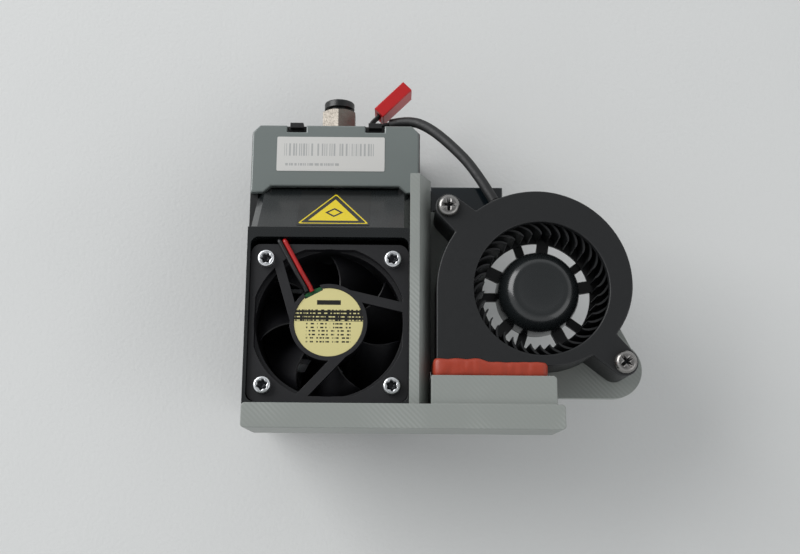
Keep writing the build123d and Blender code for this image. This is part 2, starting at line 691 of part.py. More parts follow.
cartridge_half = core_half + 1.4
with BuildPart() as heater_block:
    with Locations(((block_left + block_right) / 2, cartridge_y, axis_z)):
        Box(block_right - block_left, block_height, 2 * core_half)
    with BuildSketch(Plane.XZ.offset(-block_top - 1.0)):
        with Locations((0, axis_z)):
            Circle(thread_radius)
    extrude(amount=block_height + 2.0, mode=Mode.SUBTRACT)
    with Locations((cartridge_x, cartridge_y, axis_z)):
        Cylinder(cartridge_radius, 3 * core_half, mode=Mode.SUBTRACT)
    with Locations((block_left + 2.0, cartridge_y, axis_z - core_half)):
        Cylinder(1.0, 4.0, mode=Mode.SUBTRACT, align=(Align.CENTER, Align.CENTER, Align.MIN))
heater_block.part.label = "heater_block"
export_step(heater_block.part, "parts/heater_block.step")

with BuildPart() as heater_cartridge:
    with Locations((cartridge_x, cartridge_y, axis_z)):
        Cylinder(cartridge_radius, 2 * cartridge_half)
heater_cartridge.part.label = "heater_cartridge"
export_step(heater_cartridge.part, "parts/heater_cartridge.step")

with BuildPart() as thermistor:
    with Locations((block_left + 2.0, cartridge_y, axis_z - cartridge_half)):
        Cylinder(1.0, 5.4, align=(Align.CENTER, Align.CENTER, Align.MIN))
thermistor.part.label = "thermistor"
export_step(thermistor.part, "parts/thermistor.step")

with BuildPart() as heater_insulation:
    with Locations(((block_left + block_right) / 2, block_top, axis_z)):
        Box(block_right - block_left + 2 * insulation, block_height + insulation,
            2 * (core_half + insulation), align=(Align.CENTER, Align.MAX, Align.CENTER))
        Box(block_right - block_left, block_height, 2 * core_half, mode=Mode.SUBTRACT,
            align=(Align.CENTER, Align.MAX, Align.CENTER))
    with BuildSketch(Plane.XZ.offset(-block_bottom)):
        with Locations((0, axis_z)):
            Circle(nozzle_flats / 2 + 0.7)
    extrude(amount=2 * insulation, mode=Mode.SUBTRACT)
    with Locations((cartridge_x, cartridge_y, axis_z)):
        Cylinder(cartridge_radius, 3 * core_half, mode=Mode.SUBTRACT)
    with Locations((block_left + 2.0, cartridge_y, axis_z - core_half)):
        Cylinder(1.2, 4.0, mode=Mode.SUBTRACT)
heater_insulation.part.label = "heater_insulation"
export_step(heater_insulation.part, "parts/heater_insulation.step")

wire_x = heatsink_half - 0.8
wire_z = floor_thickness + 1.6
wire_end_z = (board_back + board_front) / 2
with BuildPart() as heater_leads:
    add(round_wire([(cartridge_x, cartridge_y, axis_z - cartridge_half), (cartridge_x, cartridge_y, wire_z),
                (wire_x, cartridge_y + 5.0, wire_z), (wire_x, board_start - 6.0, wire_z),
                    (board_wire_x, board_start - 3.0, wire_end_z), (board_wire_x, board_start, wire_end_z)],
               [1.5, 2.0, 2.5, 2.5], wire_radius))
    add(round_wire([(block_left + 2.0, cartridge_y, axis_z - cartridge_half),
                    (block_left + 2.0, cartridge_y, wire_z),
                (-wire_x, cartridge_y + 5.0, wire_z), (-wire_x, board_start - 6.0, wire_z),
                    (-board_wire_x, board_start - 3.0, wire_end_z),
                    (-board_wire_x, board_start, wire_end_z)],
               [1.5, 2.0, 2.5, 2.5], wire_radius))
heater_leads.part.label = "heater_leads"
export_step(heater_leads.part, "parts/heater_leads.step")

# ================================================================ push-fit fitting
with BuildPart() as fitting_body:
    add(turned([(liner_radius + 0.1, body_top - shank_length), (shank_radius, body_top - shank_length),
                (shank_radius, body_top), (chamber_radius + 0.3, body_top),
                (chamber_radius + 0.3, fitting_top),
                (chamber_radius, fitting_top), (chamber_radius, chamber_start),
                (liner_radius + 0.1, chamber_start)]))
    with BuildSketch(Plane.XZ.offset(-body_top)):
        with Locations((0, axis_z)):
            with Locations(Rotation(0, 0, 30)):
                RegularPolygon(fitting_flats / 2, 6, major_radius=False)
            Circle(chamber_radius, mode=Mode.SUBTRACT)
    extrude(amount=-fitting_hex_length)
    # the hexagon's corners are turned down at the top
    hex_round = fitting_flats / 2
    corner_reach = fitting_flats / 2 / cos(radians(30)) + 0.2
    corner_drop = (corner_reach - hex_round) * tan(radians(30))
    add(turned([(hex_round, fitting_top + 0.5), (corner_reach, fitting_top + 0.5),
                (corner_reach, fitting_top - corner_drop), (hex_round, fitting_top)]), mode=Mode.SUBTRACT)
    with BuildSketch(Plane.XZ.offset(-chamber_start)):
        with Locations((0, axis_z)):
            Circle(chamber_radius)
            Circle(liner_radius + 0.1, mode=Mode.SUBTRACT)
    extrude(amount=chamber_start - body_top)
fitting_body.part.label = "fitting_body"
export_step(fitting_body.part, "parts/fitting_body.step")

with BuildPart() as fitting_seal:
    add(turned([(liner_radius + 0.15, chamber_start), (chamber_radius, chamber_start),
                (chamber_radius, chamber_start + seal_thickness),
                (liner_radius + 0.15, chamber_start + seal_thickness)]))
fitting_seal.part.label = "fitting_seal"
export_step(fitting_seal.part, "parts/fitting_seal.step")

collar_start = fitting_top + collar_lift
with BuildPart() as fitting_collet:
    sleeve_radius = chamber_radius - running_gap
    sleeve_start = chamber_start + seal_thickness + collet_travel + 0.4
    add(turned([(liner_radius + fit_gap, sleeve_start), (sleeve_radius, sleeve_start),
                (sleeve_radius, collar_start),
                (collar_radius, collar_start), (collar_radius, collar_start + collar_thickness),
                (liner_radius + fit_gap, collar_start + collar_thickness)]))
    fillet(edges().filter_by(GeomType.CIRCLE).sort_by(Axis.Y)[-2:].sort_by(SortBy.RADIUS)[-1], 0.5)
fitting_collet.part.label = "fitting_collet"
export_step(fitting_collet.part, "parts/fitting_collet.step")

# ================================================================ control board
board_spots = [(-board_hole_x, board_hole_low), (board_hole_x, board_hole_low),
               (-board_hole_x, board_hole_high), (board_hole_x, board_hole_high)]
with BuildPart() as control_board:
    with BuildSketch(Plane.XY.offset(board_back)):
        with Locations((0, (board_start + board_end) / 2)):
            Rectangle(2 * board_half, board_end - board_start)
        with Locations(*board_spots):
            Circle(board_screw_radius + 0.1, mode=Mode.SUBTRACT)
    extrude(amount=board_plate)
control_board.part.label = "control_board"
export_step(control_board.part, "parts/control_board.step")

with BuildPart() as board_screws:
    with Locations(*[(x, y, board_front) for x, y in board_spots]):
        Cylinder(1.8, 1.2, align=(Align.CENTER, Align.CENTER, Align.MIN))
        Cylinder(board_screw_radius, board_plate + 2.2, align=(Align.CENTER, Align.CENTER, Align.MAX))
board_screws.part.label = "board_screws"
export_step(board_screws.part, "parts/board_screws.step")

with BuildPart() as contact_block:
    with Locations((0, contact_y, 0.3)):
        Box(2 * contact_half, contact_depth, board_back - 0.3,
            align=(Align.CENTER, Align.CENTER, Align.MIN))
    with Locations((0, contact_y, 0.3)):
        with GridLocations(2.4, 0, 6, 1):
            Box(1.2, 3.0, 0.4, mode=Mode.SUBTRACT, align=(Align.CENTER, Align.CENTER, Align.MIN))
contact_block.part.label = "contact_block"
export_step(contact_block.part, "parts/contact_block.step")

# ================================================================ printed duct and bracket
duct_left = -pocket_half
with BuildPart() as air_duct:
    with BuildSketch(Plane.XY.offset(duct_back)):
        with Locations(((duct_left + duct_end) / 2, body_bottom - duct_height / 2)):
            RectangleRounded(duct_end - duct_left, duct_height, 0.9)
    extrude(amount=duct_depth)
    with BuildSketch(Plane.XY.offset(duct_back)):
        with Locations(((sleeve_left_wall + sleeve_right) / 2, (sleeve_top + body_bottom) / 2 - 0.5)):
            Rectangle(sleeve_right - sleeve_left_wall, sleeve_top - body_bottom + 1.0)
        chamfer(vertices().group_by(Axis.Y)[-1].sort_by(Axis.X)[-1], 0.6)
    extrude(amount=sleeve_front - duct_back)
    # thin channel that blows on the nozzle
    with Locations((0, body_bottom, axis_z + 4.0 + nozzle_clear)):
        Box(2 * outlet_half, outlet_drop, duct_back - axis_z - 4.0 - nozzle_clear,
            align=(Align.CENTER, Align.MAX, Align.MIN))
    # hollows: along the duct, up the sleeve and out to the nozzle
    with Locations((duct_left + duct_skin, body_bottom - duct_skin, duct_back + duct_skin)):
        Box(duct_end - duct_left - 2 * duct_skin, duct_height - 2 * duct_skin, duct_depth - 2 * duct_skin,
            mode=Mode.SUBTRACT, align=(Align.MIN, Align.MAX, Align.MIN))
    with Locations((outlet_left - sleeve_gap, sleeve_top + 1.0, blower_back - sleeve_gap)):
        Box(outlet_width + 2 * sleeve_gap, sleeve_top + 1.0 - body_bottom + 2 * duct_skin,
            blower_thickness + 2 * sleeve_gap, mode=Mode.SUBTRACT, align=(Align.MIN, Align.MAX, Align.MIN))
    with Locations((0, body_bottom - 0.7, axis_z)):
        Box(2 * outlet_half - 2.0, outlet_drop - 1.4, duct_back + 2 * duct_skin - axis_z,
            mode=Mode.SUBTRACT, align=(Align.CENTER, Align.MAX, Align.MIN))
air_duct.part.label = "air_duct"
export_step(air_duct.part, "parts/air_duct.step")

plate_cut_top = sleeve_top + tape_width + 0.3
with BuildPart() as blower_bracket:
    with BuildSketch(Plane.XZ.offset(-body_bottom)):
        with BuildLine():
            Polyline((shroud_half - wall_lip, wall_front), (shroud_half + wall_face, wall_front),
                     (wall_outer, wall_front - wall_slope), (wall_outer, wall_back), (body_half, wall_back),
                     (body_half, shell_front), (shroud_half, shell_front), (shroud_half, rim_front),
                     (shroud_half - wall_lip, rim_front), close=True)
        make_face()
    extrude(amount=body_bottom - wall_top)
    with BuildSketch(Plane.XY.offset(plate_back)):
        with BuildLine():
            Polyline((body_half + 1.0, bracket_top), (wall_outer + 11.0, bracket_top),
                     (blower_x + 12.0, blower_y + 12.0), (ears[1][0] + 5.0, ears[1][1] + 5.2),
                     (ears[1][0], ears[1][1] - 7.4), (body_half + 1.0, ears[1][1] - 7.4), close=True)
        make_face()
        with Locations((blower_x, blower_y)):
            Circle(volute_start + bracket_rim)
        with Locations(ears[1]):
            Circle(7.4)
        with Locations((blower_x, blower_y)):
            Circle(blower_rear_radius + bracket_hole_gap, mode=Mode.SUBTRACT)
        with Locations((wall_outer, plate_cut_top)):
            Rectangle(sleeve_right + 0.3 - wall_outer, 3 * duct_height, mode=Mode.SUBTRACT,
                      align=(Align.MIN, Align.MAX))
        with Locations(*ears):
            Circle(ear_screw_radius + 0.1, mode=Mode.SUBTRACT)
    extrude(amount=plate_thickness)
blower_bracket.part.label = "blower_bracket"
export_step(blower_bracket.part, "parts/blower_bracket.step")

with BuildPart() as top_mount_plate:
    with Locations((wall_outer, bracket_top, plate_back)):
        Box(19.4, 7.0, plate_thickness, align=(Align.MIN, Align.MIN, Align.MIN))
    chamfer(faces().sort_by(Axis.Z)[-1].edges(), 0.3)
top_mount_plate.part.label = "top_mount_plate"
export_step(top_mount_plate.part, "parts/top_mount_plate.step")

# ================================================================ blower
blower_plane = Plane(origin=(blower_x, blower_y, 0))
seat_z = blower_back + blower_wall
blower_split = blower_front - blower_skin


def volute(inset, low, high, outlet_low):
    """The snail-shaped outline with its outlet, drawn in by inset, as a solid from low to high."""
    radii = [volute_start + grow - inset for grow in volute_growth]
    middles = [(radii[i] + radii[i + 1]) / 2 for i in range(3)]
    corners = [radians(-90 + 90 * i) for i in range(4)]
    halves = [radians(-45 + 90 * i) for i in range(3)]
    rim = [(radii[i] * cos(corners[i]), radii[i] * sin(corners[i])) for i in range(4)]
    bulge = [(middles[i] * cos(halves[i]), middles[i] * sin(halves[i])) for i in range(3)]
    mouth_left = -radii[3]
    mouth_right = outlet_right - blower_x - inset
    start = (mouth_right, 0.02 - radii[0])
    with BuildPart() as shape:
        with BuildSketch(Plane(origin=(blower_x, blower_y, low))):
            with BuildLine():
                ThreePointArc(start, bulge[0], rim[1])
                ThreePointArc(rim[1], bulge[1], rim[2])
                ThreePointArc(rim[2], bulge[2], rim[3])
                Polyline(rim[3], (mouth_left, outlet_low - blower_y),
                         (mouth_right, outlet_low - blower_y), start)
            make_face()
        extrude(amount=high - low)
    return shape.part


def ear_arms(low, high):
    """Both screw ears with the webs that join them to the volute."""
    with BuildPart() as arms:
        for ear_x, ear_y in ears:
            lean_x = blower_x - ear_x
            lean_y = blower_y - ear_y
            reach = hypot(lean_x, lean_y)
            side_x = -lean_y / reach * ear_radius
            side_y = lean_x / reach * ear_radius
            inner_x = ear_x + lean_x * ear_web_reach
            inner_y = ear_y + lean_y * ear_web_reach
            wide_x = ear_web_spread * side_x
            wide_y = ear_web_spread * side_y
            with BuildSketch(Plane.XY.offset(low)):
                with BuildLine():
                    Polyline((ear_x + side_x, ear_y + side_y), (inner_x + wide_x, inner_y + wide_y),
                             (inner_x - wide_x, inner_y - wide_y), (ear_x - side_x, ear_y - side_y),
                             close=True)
                make_face()
                with Locations((ear_x, ear_y)):
                    Circle(ear_radius)
            extrude(amount=high - low)
    return arms.part


cable_radius = 1.4
gland_radius = 1.9
gland_angle = radians(112.8)
gland_z = blower_back + 4.0
gland_out = (cos(gland_angle), sin(gland_angle), 0)
gland_inner = volute_start + volute_growth[2] - 1.6
gland_outer = gland_inner + 4.2
gland_depth = 3.0         # how far its bore reaches into the blower
gland_plane = Plane(origin=(blower_x + gland_inner * gland_out[0],
                            blower_y + gland_inner * gland_out[1], gland_z), z_dir=gland_out)
with BuildPart() as blower_base:
    add(volute(0.0, blower_back, blower_split, outlet_end))
    add(ear_arms(blower_back, blower_split))
    add(volute(blower_wall, seat_z, blower_split + 1.0, outlet_end - 1.0), mode=Mode.SUBTRACT)
    with BuildSketch(blower_plane.offset(blower_back)):
        Circle(blower_rear_radius)
        Circle(blower_hub_radius - 0.3, mode=Mode.SUBTRACT)
        with PolarLocations(0, 5, start_angle=36):
            with Locations((blower_rear_radius / 2 + 2.0, 0)):
                Rectangle(blower_rear_radius + 8.0, 2.2, mode=Mode.SUBTRACT)
    extrude(amount=blower_wall, mode=Mode.SUBTRACT)
    with BuildSketch(blower_plane.offset(blower_back)):
        Circle(tube_radius)
    extrude(amount=9.0)
    with BuildSketch(blower_plane.offset(seat_z)):
        Circle(bearing_radius)
    extrude(amount=9.0, mode=Mode.SUBTRACT)
    with Locations(*[(x, y, blower_back) for x, y in ears]):
        Cylinder(ear_screw_radius + hole_gap, 3 * blower_thickness, mode=Mode.SUBTRACT)
    with BuildSketch(gland_plane.offset(-gland_depth)):
        Circle(gland_radius)
    extrude(amount=gland_outer - gland_inner + gland_depth, mode=Mode.SUBTRACT)
blower_base.part.label = "blower_base"
export_step(blower_base.part, "parts/blower_base.step")

with BuildPart() as blower_cover:
    add(volute(0.0, blower_split, blower_front, outlet_end))
    add(ear_arms(blower_split, blower_front))
    with Locations((blower_x, blower_y, blower_front)):
        Cylinder(blower_inlet_radius, 3 * blower_skin, mode=Mode.SUBTRACT)
    with Locations(*[(x, y, blower_front) for x, y in ears]):
        Cylinder(ear_screw_radius + hole_gap, 3 * blower_skin, mode=Mode.SUBTRACT)
blower_cover.part.label = "blower_cover"
export_step(blower_cover.part, "parts/blower_cover.step")

hub_z = seat_z + 1.7
hub_top = blower_front - 1.5
ring_z = seat_z + 1.3
magnet_seat = blower_hub_radius - rotor_wall
blade_root = impeller_radius - 3.4
with BuildPart() as blower_impeller:
    with BuildSketch(Plane(origin=(blower_x, blower_y, 0), x_dir=(1, 0, 0), z_dir=(0, -1, 0))):
        with BuildLine():
            Polyline((0, hub_top), (blower_hub_radius - 3.8, hub_top),
                     (blower_hub_radius - 0.9, hub_top - 1.3),
                     (blower_hub_radius, hub_top - 3.8), (blower_hub_radius, hub_z),
                     (magnet_seat, hub_z), (magnet_seat, hub_top - 4.2), (bearing_radius, hub_top - 2.4),
                     (bearing_radius, hub_top - 3.0), (shaft_radius, hub_top - 3.0),
                     (shaft_radius, hub_top - hub_skin), (0, hub_top - hub_skin), close=True)
        make_face()
    revolve(axis=Axis((blower_x, blower_y, 0), (0, 0, 1)))
    with BuildSketch(blower_plane.offset(ring_z)):
        Circle(impeller_radius)
        Circle(blade_root, mode=Mode.SUBTRACT)
    extrude(amount=blade_ring)
    with BuildSketch(blower_plane.offset(blower_split - 2.0)):
        Circle(impeller_radius)
        Circle(impeller_radius - 0.7, mode=Mode.SUBTRACT)
    extrude(amount=blade_ring)
    with BuildSketch(blower_plane.offset(ring_z)):
        for index in range(impeller_blades):
            with Locations(Rotation(0, 0, index * 360 / impeller_blades)):
                with Locations(Location(((blade_root + impeller_radius) / 2, 0), blade_tilt)):
                    Rectangle(blade_chord, blade_plate)
        with Locations((0, 0)):
            Circle(impeller_radius, mode=Mode.INTERSECT)
    extrude(amount=blower_split - 0.8 - ring_z)
    with BuildSketch(blower_plane.offset(hub_z)):
        with PolarLocations(0, impeller_arms, start_angle=10):
            with Locations(((blower_hub_radius + blade_root) / 2, 0)):
                Rectangle(blade_root - blower_hub_radius + 0.8, arm_width)
    extrude(amount=arm_plate)
blower_impeller.part.label = "blower_impeller"
export_step(blower_impeller.part, "parts/blower_impeller.step")

blower_board_top = seat_z + 0.8
with BuildPart() as blower_magnet:
    add(Pos(blower_x, blower_y, 0) * sleeve_ring(magnet_seat, magnet_seat - magnet_thickness,
                                                 hub_z + 0.4, hub_top - 4.4))
blower_magnet.part.label = "blower_magnet"
export_step(blower_magnet.part, "parts/blower_magnet.step")

with BuildPart() as blower_shaft:
    with Locations((blower_x, blower_y, hub_top - hub_skin)):
        Cylinder(shaft_radius, hub_top - hub_skin - seat_z - 0.3,
                 align=(Align.CENTER, Align.CENTER, Align.MAX))
blower_shaft.part.label = "blower_shaft"
export_step(blower_shaft.part, "parts/blower_shaft.step")

with BuildPart() as blower_bearing:
    add(Pos(blower_x, blower_y, 0) * sleeve_ring(bearing_radius, shaft_radius + running_gap,
                                                 seat_z + 1.0, seat_z + 6.8))
blower_bearing.part.label = "blower_bearing"
export_step(blower_bearing.part, "parts/blower_bearing.step")

with BuildPart() as blower_circuit_board:
    add(Pos(blower_x, blower_y, 0) * sleeve_ring(blower_hub_radius - 1.0, tube_radius,
                                                 seat_z, blower_board_top))
blower_circuit_board.part.label = "blower_circuit_board"
export_step(blower_circuit_board.part, "parts/blower_circuit_board.step")

with BuildPart() as blower_stator:
    add(Pos(blower_x, blower_y, 0) * wound_core(magnet_seat - magnet_thickness - air_gap, tube_radius,
                                                blower_board_top, blower_back + 8.6))
blower_stator.part.label = "blower_stator"
export_step(blower_stator.part, "parts/blower_stator.step")

with BuildPart() as blower_screws:
    with Locations(*[(x, y, blower_front) for x, y in ears]):
        Cylinder(ear_head_radius, ear_head_height, align=(Align.CENTER, Align.CENTER, Align.MIN))
    fillet(edges().group_by(Axis.Z)[-1], 0.9)
    with Locations(*[(x, y, blower_front) for x, y in ears]):
        Cylinder(ear_screw_radius, blower_thickness + plate_thickness + 3.2,
                 align=(Align.CENTER, Align.CENTER, Align.MAX))
    with Locations(*[(x, y, blower_front + ear_head_height) for x, y in ears]):
        Box(3.0, 0.7, 2.4, mode=Mode.SUBTRACT)
        Box(0.7, 3.0, 2.4, mode=Mode.SUBTRACT)
blower_screws.part.label = "blower_screws"
export_step(blower_screws.part, "parts/blower_screws.step")

with BuildPart() as blower_nuts:
    with BuildSketch(Plane.XY.offset(plate_back)):
        with Locations(*ears):
            RegularPolygon(2.75, 6, major_radius=False)
            Circle(ear_screw_radius, mode=Mode.SUBTRACT)
    extrude(amount=-2.4)
blower_nuts.part.label = "blower_nuts"
export_step(blower_nuts.part, "parts/blower_nuts.step")

with BuildPart() as outlet_tape:
    with Locations(((outlet_left + outlet_right) / 2, sleeve_top, (blower_back + blower_front) / 2)):
        Box(outlet_width + 2 * tape_thickness, tape_width, blower_thickness + 2 * tape_thickness,
            align=(Align.CENTER, Align.MIN, Align.CENTER))
    fillet(edges().filter_by(Axis.Y), 0.5)
    with Locations(((outlet_left + outlet_right) / 2, sleeve_top, (blower_back + blower_front) / 2)):
        Box(outlet_width, 3 * tape_width, blower_thickness, mode=Mode.SUBTRACT)
outlet_tape.part.label = "outlet_tape"
export_step(outlet_tape.part, "parts/outlet_tape.step")

# ================================================================ blower cable
with BuildPart() as cable_gland:
    with BuildSketch(gland_plane):
        Circle(gland_radius)
    extrude(amount=gland_outer - gland_inner)
    chamfer(faces().sort_by(Axis.Y)[-1].edges(), 0.3)
cable_gland.part.label = "cable_gland"
export_step(cable_gland.part, "parts/cable_gland.step")

# The cable leaves the gland, clears the corner of the housing and lies along its top.
cable_start = (blower_x + gland_outer * gland_out[0], blower_y + gland_outer * gland_out[1], gland_z)
cable_points = [cable_start, (37.6, 42.7, 36.2), (31.3, 50.6, 33.2), (25.6, 56.6, 30.0),
                (20.2, 60.0, 26.6), (15.0, 59.7, 24.0)]


def smooth_radii(points):
    """The largest tangent arcs that the runs allow: 0.45 of the shorter run at each corner."""
    radii = []
    for before, here, after in zip(points, points[1:], points[2:]):
        run_in = Vector(*here) - Vector(*before)
        run_out = Vector(*after) - Vector(*here)
        turn = radians(run_in.get_angle(run_out))
        radii.append(0.45 * min(run_in.length, run_out.length) / tan(turn / 2))
    return radii


cable_radii = smooth_radii(cable_points)
print("cable radii", [round(value, 1) for value in cable_radii])
with BuildPart() as blower_cable:
    add(round_wire(cable_points, cable_radii, cable_radius))
blower_cable.part.label = "blower_cable"
export_step(blower_cable.part, "parts/blower_cable.step")

# Two thin leads turn back under the cable's end and enter the connector.
plug_direction = (cos(radians(45)), sin(radians(45)), 0)
plug_back = (11.6, 61.8, 24.0)
plug_length = 11.2
lead_wire = 0.45
with BuildPart() as cable_leads:
    for side in (-1, 1):
        lift = side * 0.75
        lead_points = [(15.0, 59.7, 24.0 + lift), (12.4, 58.9, 24.0 + lift), (10.4, 58.5, 24.0 + lift),
                       (9.3, 59.3, 24.0 + lift), (9.8, 60.3, 24.0 + lift), (11.6, 61.8, 24.0 + lift)]
        add(round_wire(lead_points, smooth_radii(lead_points), lead_wire))
cable_leads.part.label = "cable_leads"
export_step(cable_leads.part, "parts/cable_leads.step")

plug_plane = Plane(origin=plug_back, x_dir=(-plug_direction[1], plug_direction[0], 0), z_dir=plug_direction)
with BuildPart() as connector_housing:
    with BuildSketch(plug_plane):
        RectangleRounded(3.5, 7.4, 0.3)
    extrude(amount=plug_length)
    with BuildSketch(plug_plane.offset(plug_length)):
        Rectangle(2.1, 5.6)
    extrude(amount=-6.0, mode=Mode.SUBTRACT)
    with BuildSketch(plug_plane):
        for side in (-1, 1):
            with Locations((0, side * 1.25)):
                Rectangle(1.5, 1.5)
    extrude(amount=plug_length, mode=Mode.SUBTRACT)
connector_housing.part.label = "connector_housing"
export_step(connector_housing.part, "parts/connector_housing.step")

with BuildPart() as connector_contacts:
    with BuildSketch(plug_plane.offset(1.0)):
        for side in (-1, 1):
            with Locations((0, side * 1.25)):
                Rectangle(1.5, 0.8)
    extrude(amount=plug_length - 3.0)
connector_contacts.part.label = "connector_contacts"
export_step(connector_contacts.part, "parts/connector_contacts.step")
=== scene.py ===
# %% [markdown]
# # A print head with a side blower
# The object is the print head of a 3-D printer: a boxed hot end with an axial fan in front, a
# push-fit filament fitting on its end, and a radial blower on a printed bracket beside it.
# The frame that is loaded first holds every solid of the design in metres. This script leaves those
# solids where they are. It rounds their edges, rebuilds what the eye looks at, and gives each
# surface its finish.

# %% Load the frame
import json
import math

import bmesh
import bpy
from mathutils import Matrix, Quaternion, Vector, noise


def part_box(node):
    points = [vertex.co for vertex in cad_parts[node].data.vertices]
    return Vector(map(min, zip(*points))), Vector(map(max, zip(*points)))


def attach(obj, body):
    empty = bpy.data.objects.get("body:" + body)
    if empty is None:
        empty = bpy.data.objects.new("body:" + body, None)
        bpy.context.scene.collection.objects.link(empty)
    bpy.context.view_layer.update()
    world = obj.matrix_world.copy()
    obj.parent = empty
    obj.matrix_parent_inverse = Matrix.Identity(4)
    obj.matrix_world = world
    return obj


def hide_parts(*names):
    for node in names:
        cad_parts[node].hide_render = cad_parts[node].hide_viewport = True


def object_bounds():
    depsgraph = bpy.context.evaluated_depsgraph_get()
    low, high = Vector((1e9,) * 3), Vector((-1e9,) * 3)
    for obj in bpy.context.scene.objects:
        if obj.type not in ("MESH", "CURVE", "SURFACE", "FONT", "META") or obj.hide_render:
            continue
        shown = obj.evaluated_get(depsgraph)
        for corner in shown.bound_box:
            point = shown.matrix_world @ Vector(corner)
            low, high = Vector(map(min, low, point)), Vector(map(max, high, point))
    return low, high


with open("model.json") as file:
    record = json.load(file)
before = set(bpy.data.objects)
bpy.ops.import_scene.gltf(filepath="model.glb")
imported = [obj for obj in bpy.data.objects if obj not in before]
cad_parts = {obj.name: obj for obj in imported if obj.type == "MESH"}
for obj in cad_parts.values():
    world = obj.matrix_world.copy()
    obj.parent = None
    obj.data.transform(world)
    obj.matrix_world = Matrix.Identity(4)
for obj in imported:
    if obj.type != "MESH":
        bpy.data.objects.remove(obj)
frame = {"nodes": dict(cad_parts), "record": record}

cad_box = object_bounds()
nodes = frame["nodes"]

# %% [markdown]
# ## Units and small helpers
# The design is in millimetres and the scene is in metres, so lengths are written in millimetres and
# pass through one function. Colours are written as the sRGB hex values that a colour picker
# shows, and one function turns them into the linear values that the shaders work in.


# %% Units and colours
def mm(*values):
    """Millimetres to metres: one number, or a tuple for several."""
    scaled = tuple(value * 0.001 for value in values)
    return scaled if len(scaled) > 1 else scaled[0]


def linear(hex_code):
    """An sRGB hex colour as linear RGBA."""
    channels = [int(hex_code[i:i + 2], 16) / 255 for i in (1, 3, 5)]
    curve = [c / 12.92 if c <= 0.04045 else ((c + 0.055) / 1.055) ** 2.4 for c in channels]
    return (*curve, 1.0)


print("one millimetre is", mm(1.0), "and mid grey is", round(linear("#808080")[0], 3))


# %% Nodes and pieces
def add_node(tree, kind, settings=None, links=None):
    """Adds a node. Capitalised names and numbers are its inputs, other names are its attributes."""
    node = tree.nodes.new(kind)
    for name, value in (settings or {}).items():
        if isinstance(name, int) or name[0].isupper():
            node.inputs[name].default_value = value
        else:
            setattr(node, name, value)
    for name, source in (links or {}).items():
        tree.links.new(source, node.inputs[name])
    return node


def new_piece(name, data, body, stands_for=()):
    """Links a finished mesh or curve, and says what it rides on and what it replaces."""
    piece = bpy.data.objects.new(name, data)
    bpy.context.scene.collection.objects.link(piece)
    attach(piece, body)
    if stands_for:
        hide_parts(*stands_for)
    return piece


print("helpers ready")

# %% [markdown]
# ## The camera
# The print head lies on its back, and the camera looks down on it, tipped by 12 degrees from the
# vertical. A lens of about 48 mm on a 36 mm sensor gives the right amount of perspective: the
# fan's near edge is wider than the box behind it.

# %% Camera
camera_place = Vector(mm(17.84, -44.3, 307.3))
camera_tip = math.radians(12.0)
camera_roll = math.radians(-0.45)
look = Vector((0.0, math.sin(camera_tip), -math.cos(camera_tip)))
camera_data = bpy.data.cameras.new("camera")
camera_data.lens = 47.9
camera_data.sensor_width = 36.0
camera_data.clip_start = mm(5.0)
camera = bpy.data.objects.new("camera", camera_data)
camera.location = camera_place
camera.rotation_mode = "QUATERNION"
camera.rotation_quaternion = Quaternion(look, camera_roll) @ look.to_track_quat("-Z", "Y")
bpy.context.scene.collection.objects.link(camera)
bpy.context.scene.camera = camera
print("camera height", round(camera_place.z, 3))

# %% [markdown]
# ## The blower's cable
# A short sleeved cable leaves the blower through a rubber gland, rounds the corner of the box and
# ends in two thin leads that turn back into a small connector. It could be a mesh tube, but a
# NURBS curve with a round bevel keeps the route as six points, which are its control points,
# and stays smooth at any distance.


# %% Cable and leads
def round_curve(name, routes, diameter):
    """A curve with one smooth spline for each route, and a round section."""
    data = bpy.data.curves.new(name, "CURVE")
    data.dimensions = "3D"
    data.resolution_u = 14
    data.bevel_depth = 1.0
    data.bevel_resolution = 5
    data.use_fill_caps = True
    for route in routes:
        spline = data.splines.new("NURBS")
        spline.points.add(len(route) - 1)
        for point, place in zip(spline.points, route):
            point.co = (*mm(*place), 1.0)
            point.radius = diameter / 2
        spline.order_u = 3
        spline.use_endpoint_u = True
    return data


gland_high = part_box("cable_gland")[1]
cable_route = [(42.38, 33.56, 38.0), (37.6, 42.7, 36.2), (31.3, 50.6, 33.2), (25.6, 56.6, 30.0),
               (20.2, 60.0, 26.6), (15.0, 59.7, 24.0)]
cable_diameter = mm(2.8)
cable = new_piece("sleeved_cable", round_curve("sleeved_cable", [cable_route], cable_diameter),
                  "module", ["blower_cable"])
lead_turn = [(15.0, 59.7), (12.4, 58.9), (10.4, 58.5), (9.3, 59.3), (9.8, 60.3), (12.6, 62.8)]
lead_routes = [[(x, y, 24.0 + side * 0.75) for x, y in lead_turn] for side in (-1, 1)]
leads = new_piece("thin_leads", round_curve("thin_leads", lead_routes, mm(0.95)),
                  "module", ["cable_leads"])
print("cable points", len(cable_route), "gland at", [round(v, 4) for v in gland_high])

# %% [markdown]
# ## The table and the light
# The part lies on a plain pale sheet. A wide soft light from the upper left, a weak one from the
# lower right and a pale world give the even light of a bright room. The world is darker straight
# above, as it is under a camera and its holder, so that faces turned to the viewer stay deep and
# the rounded edges catch the light.

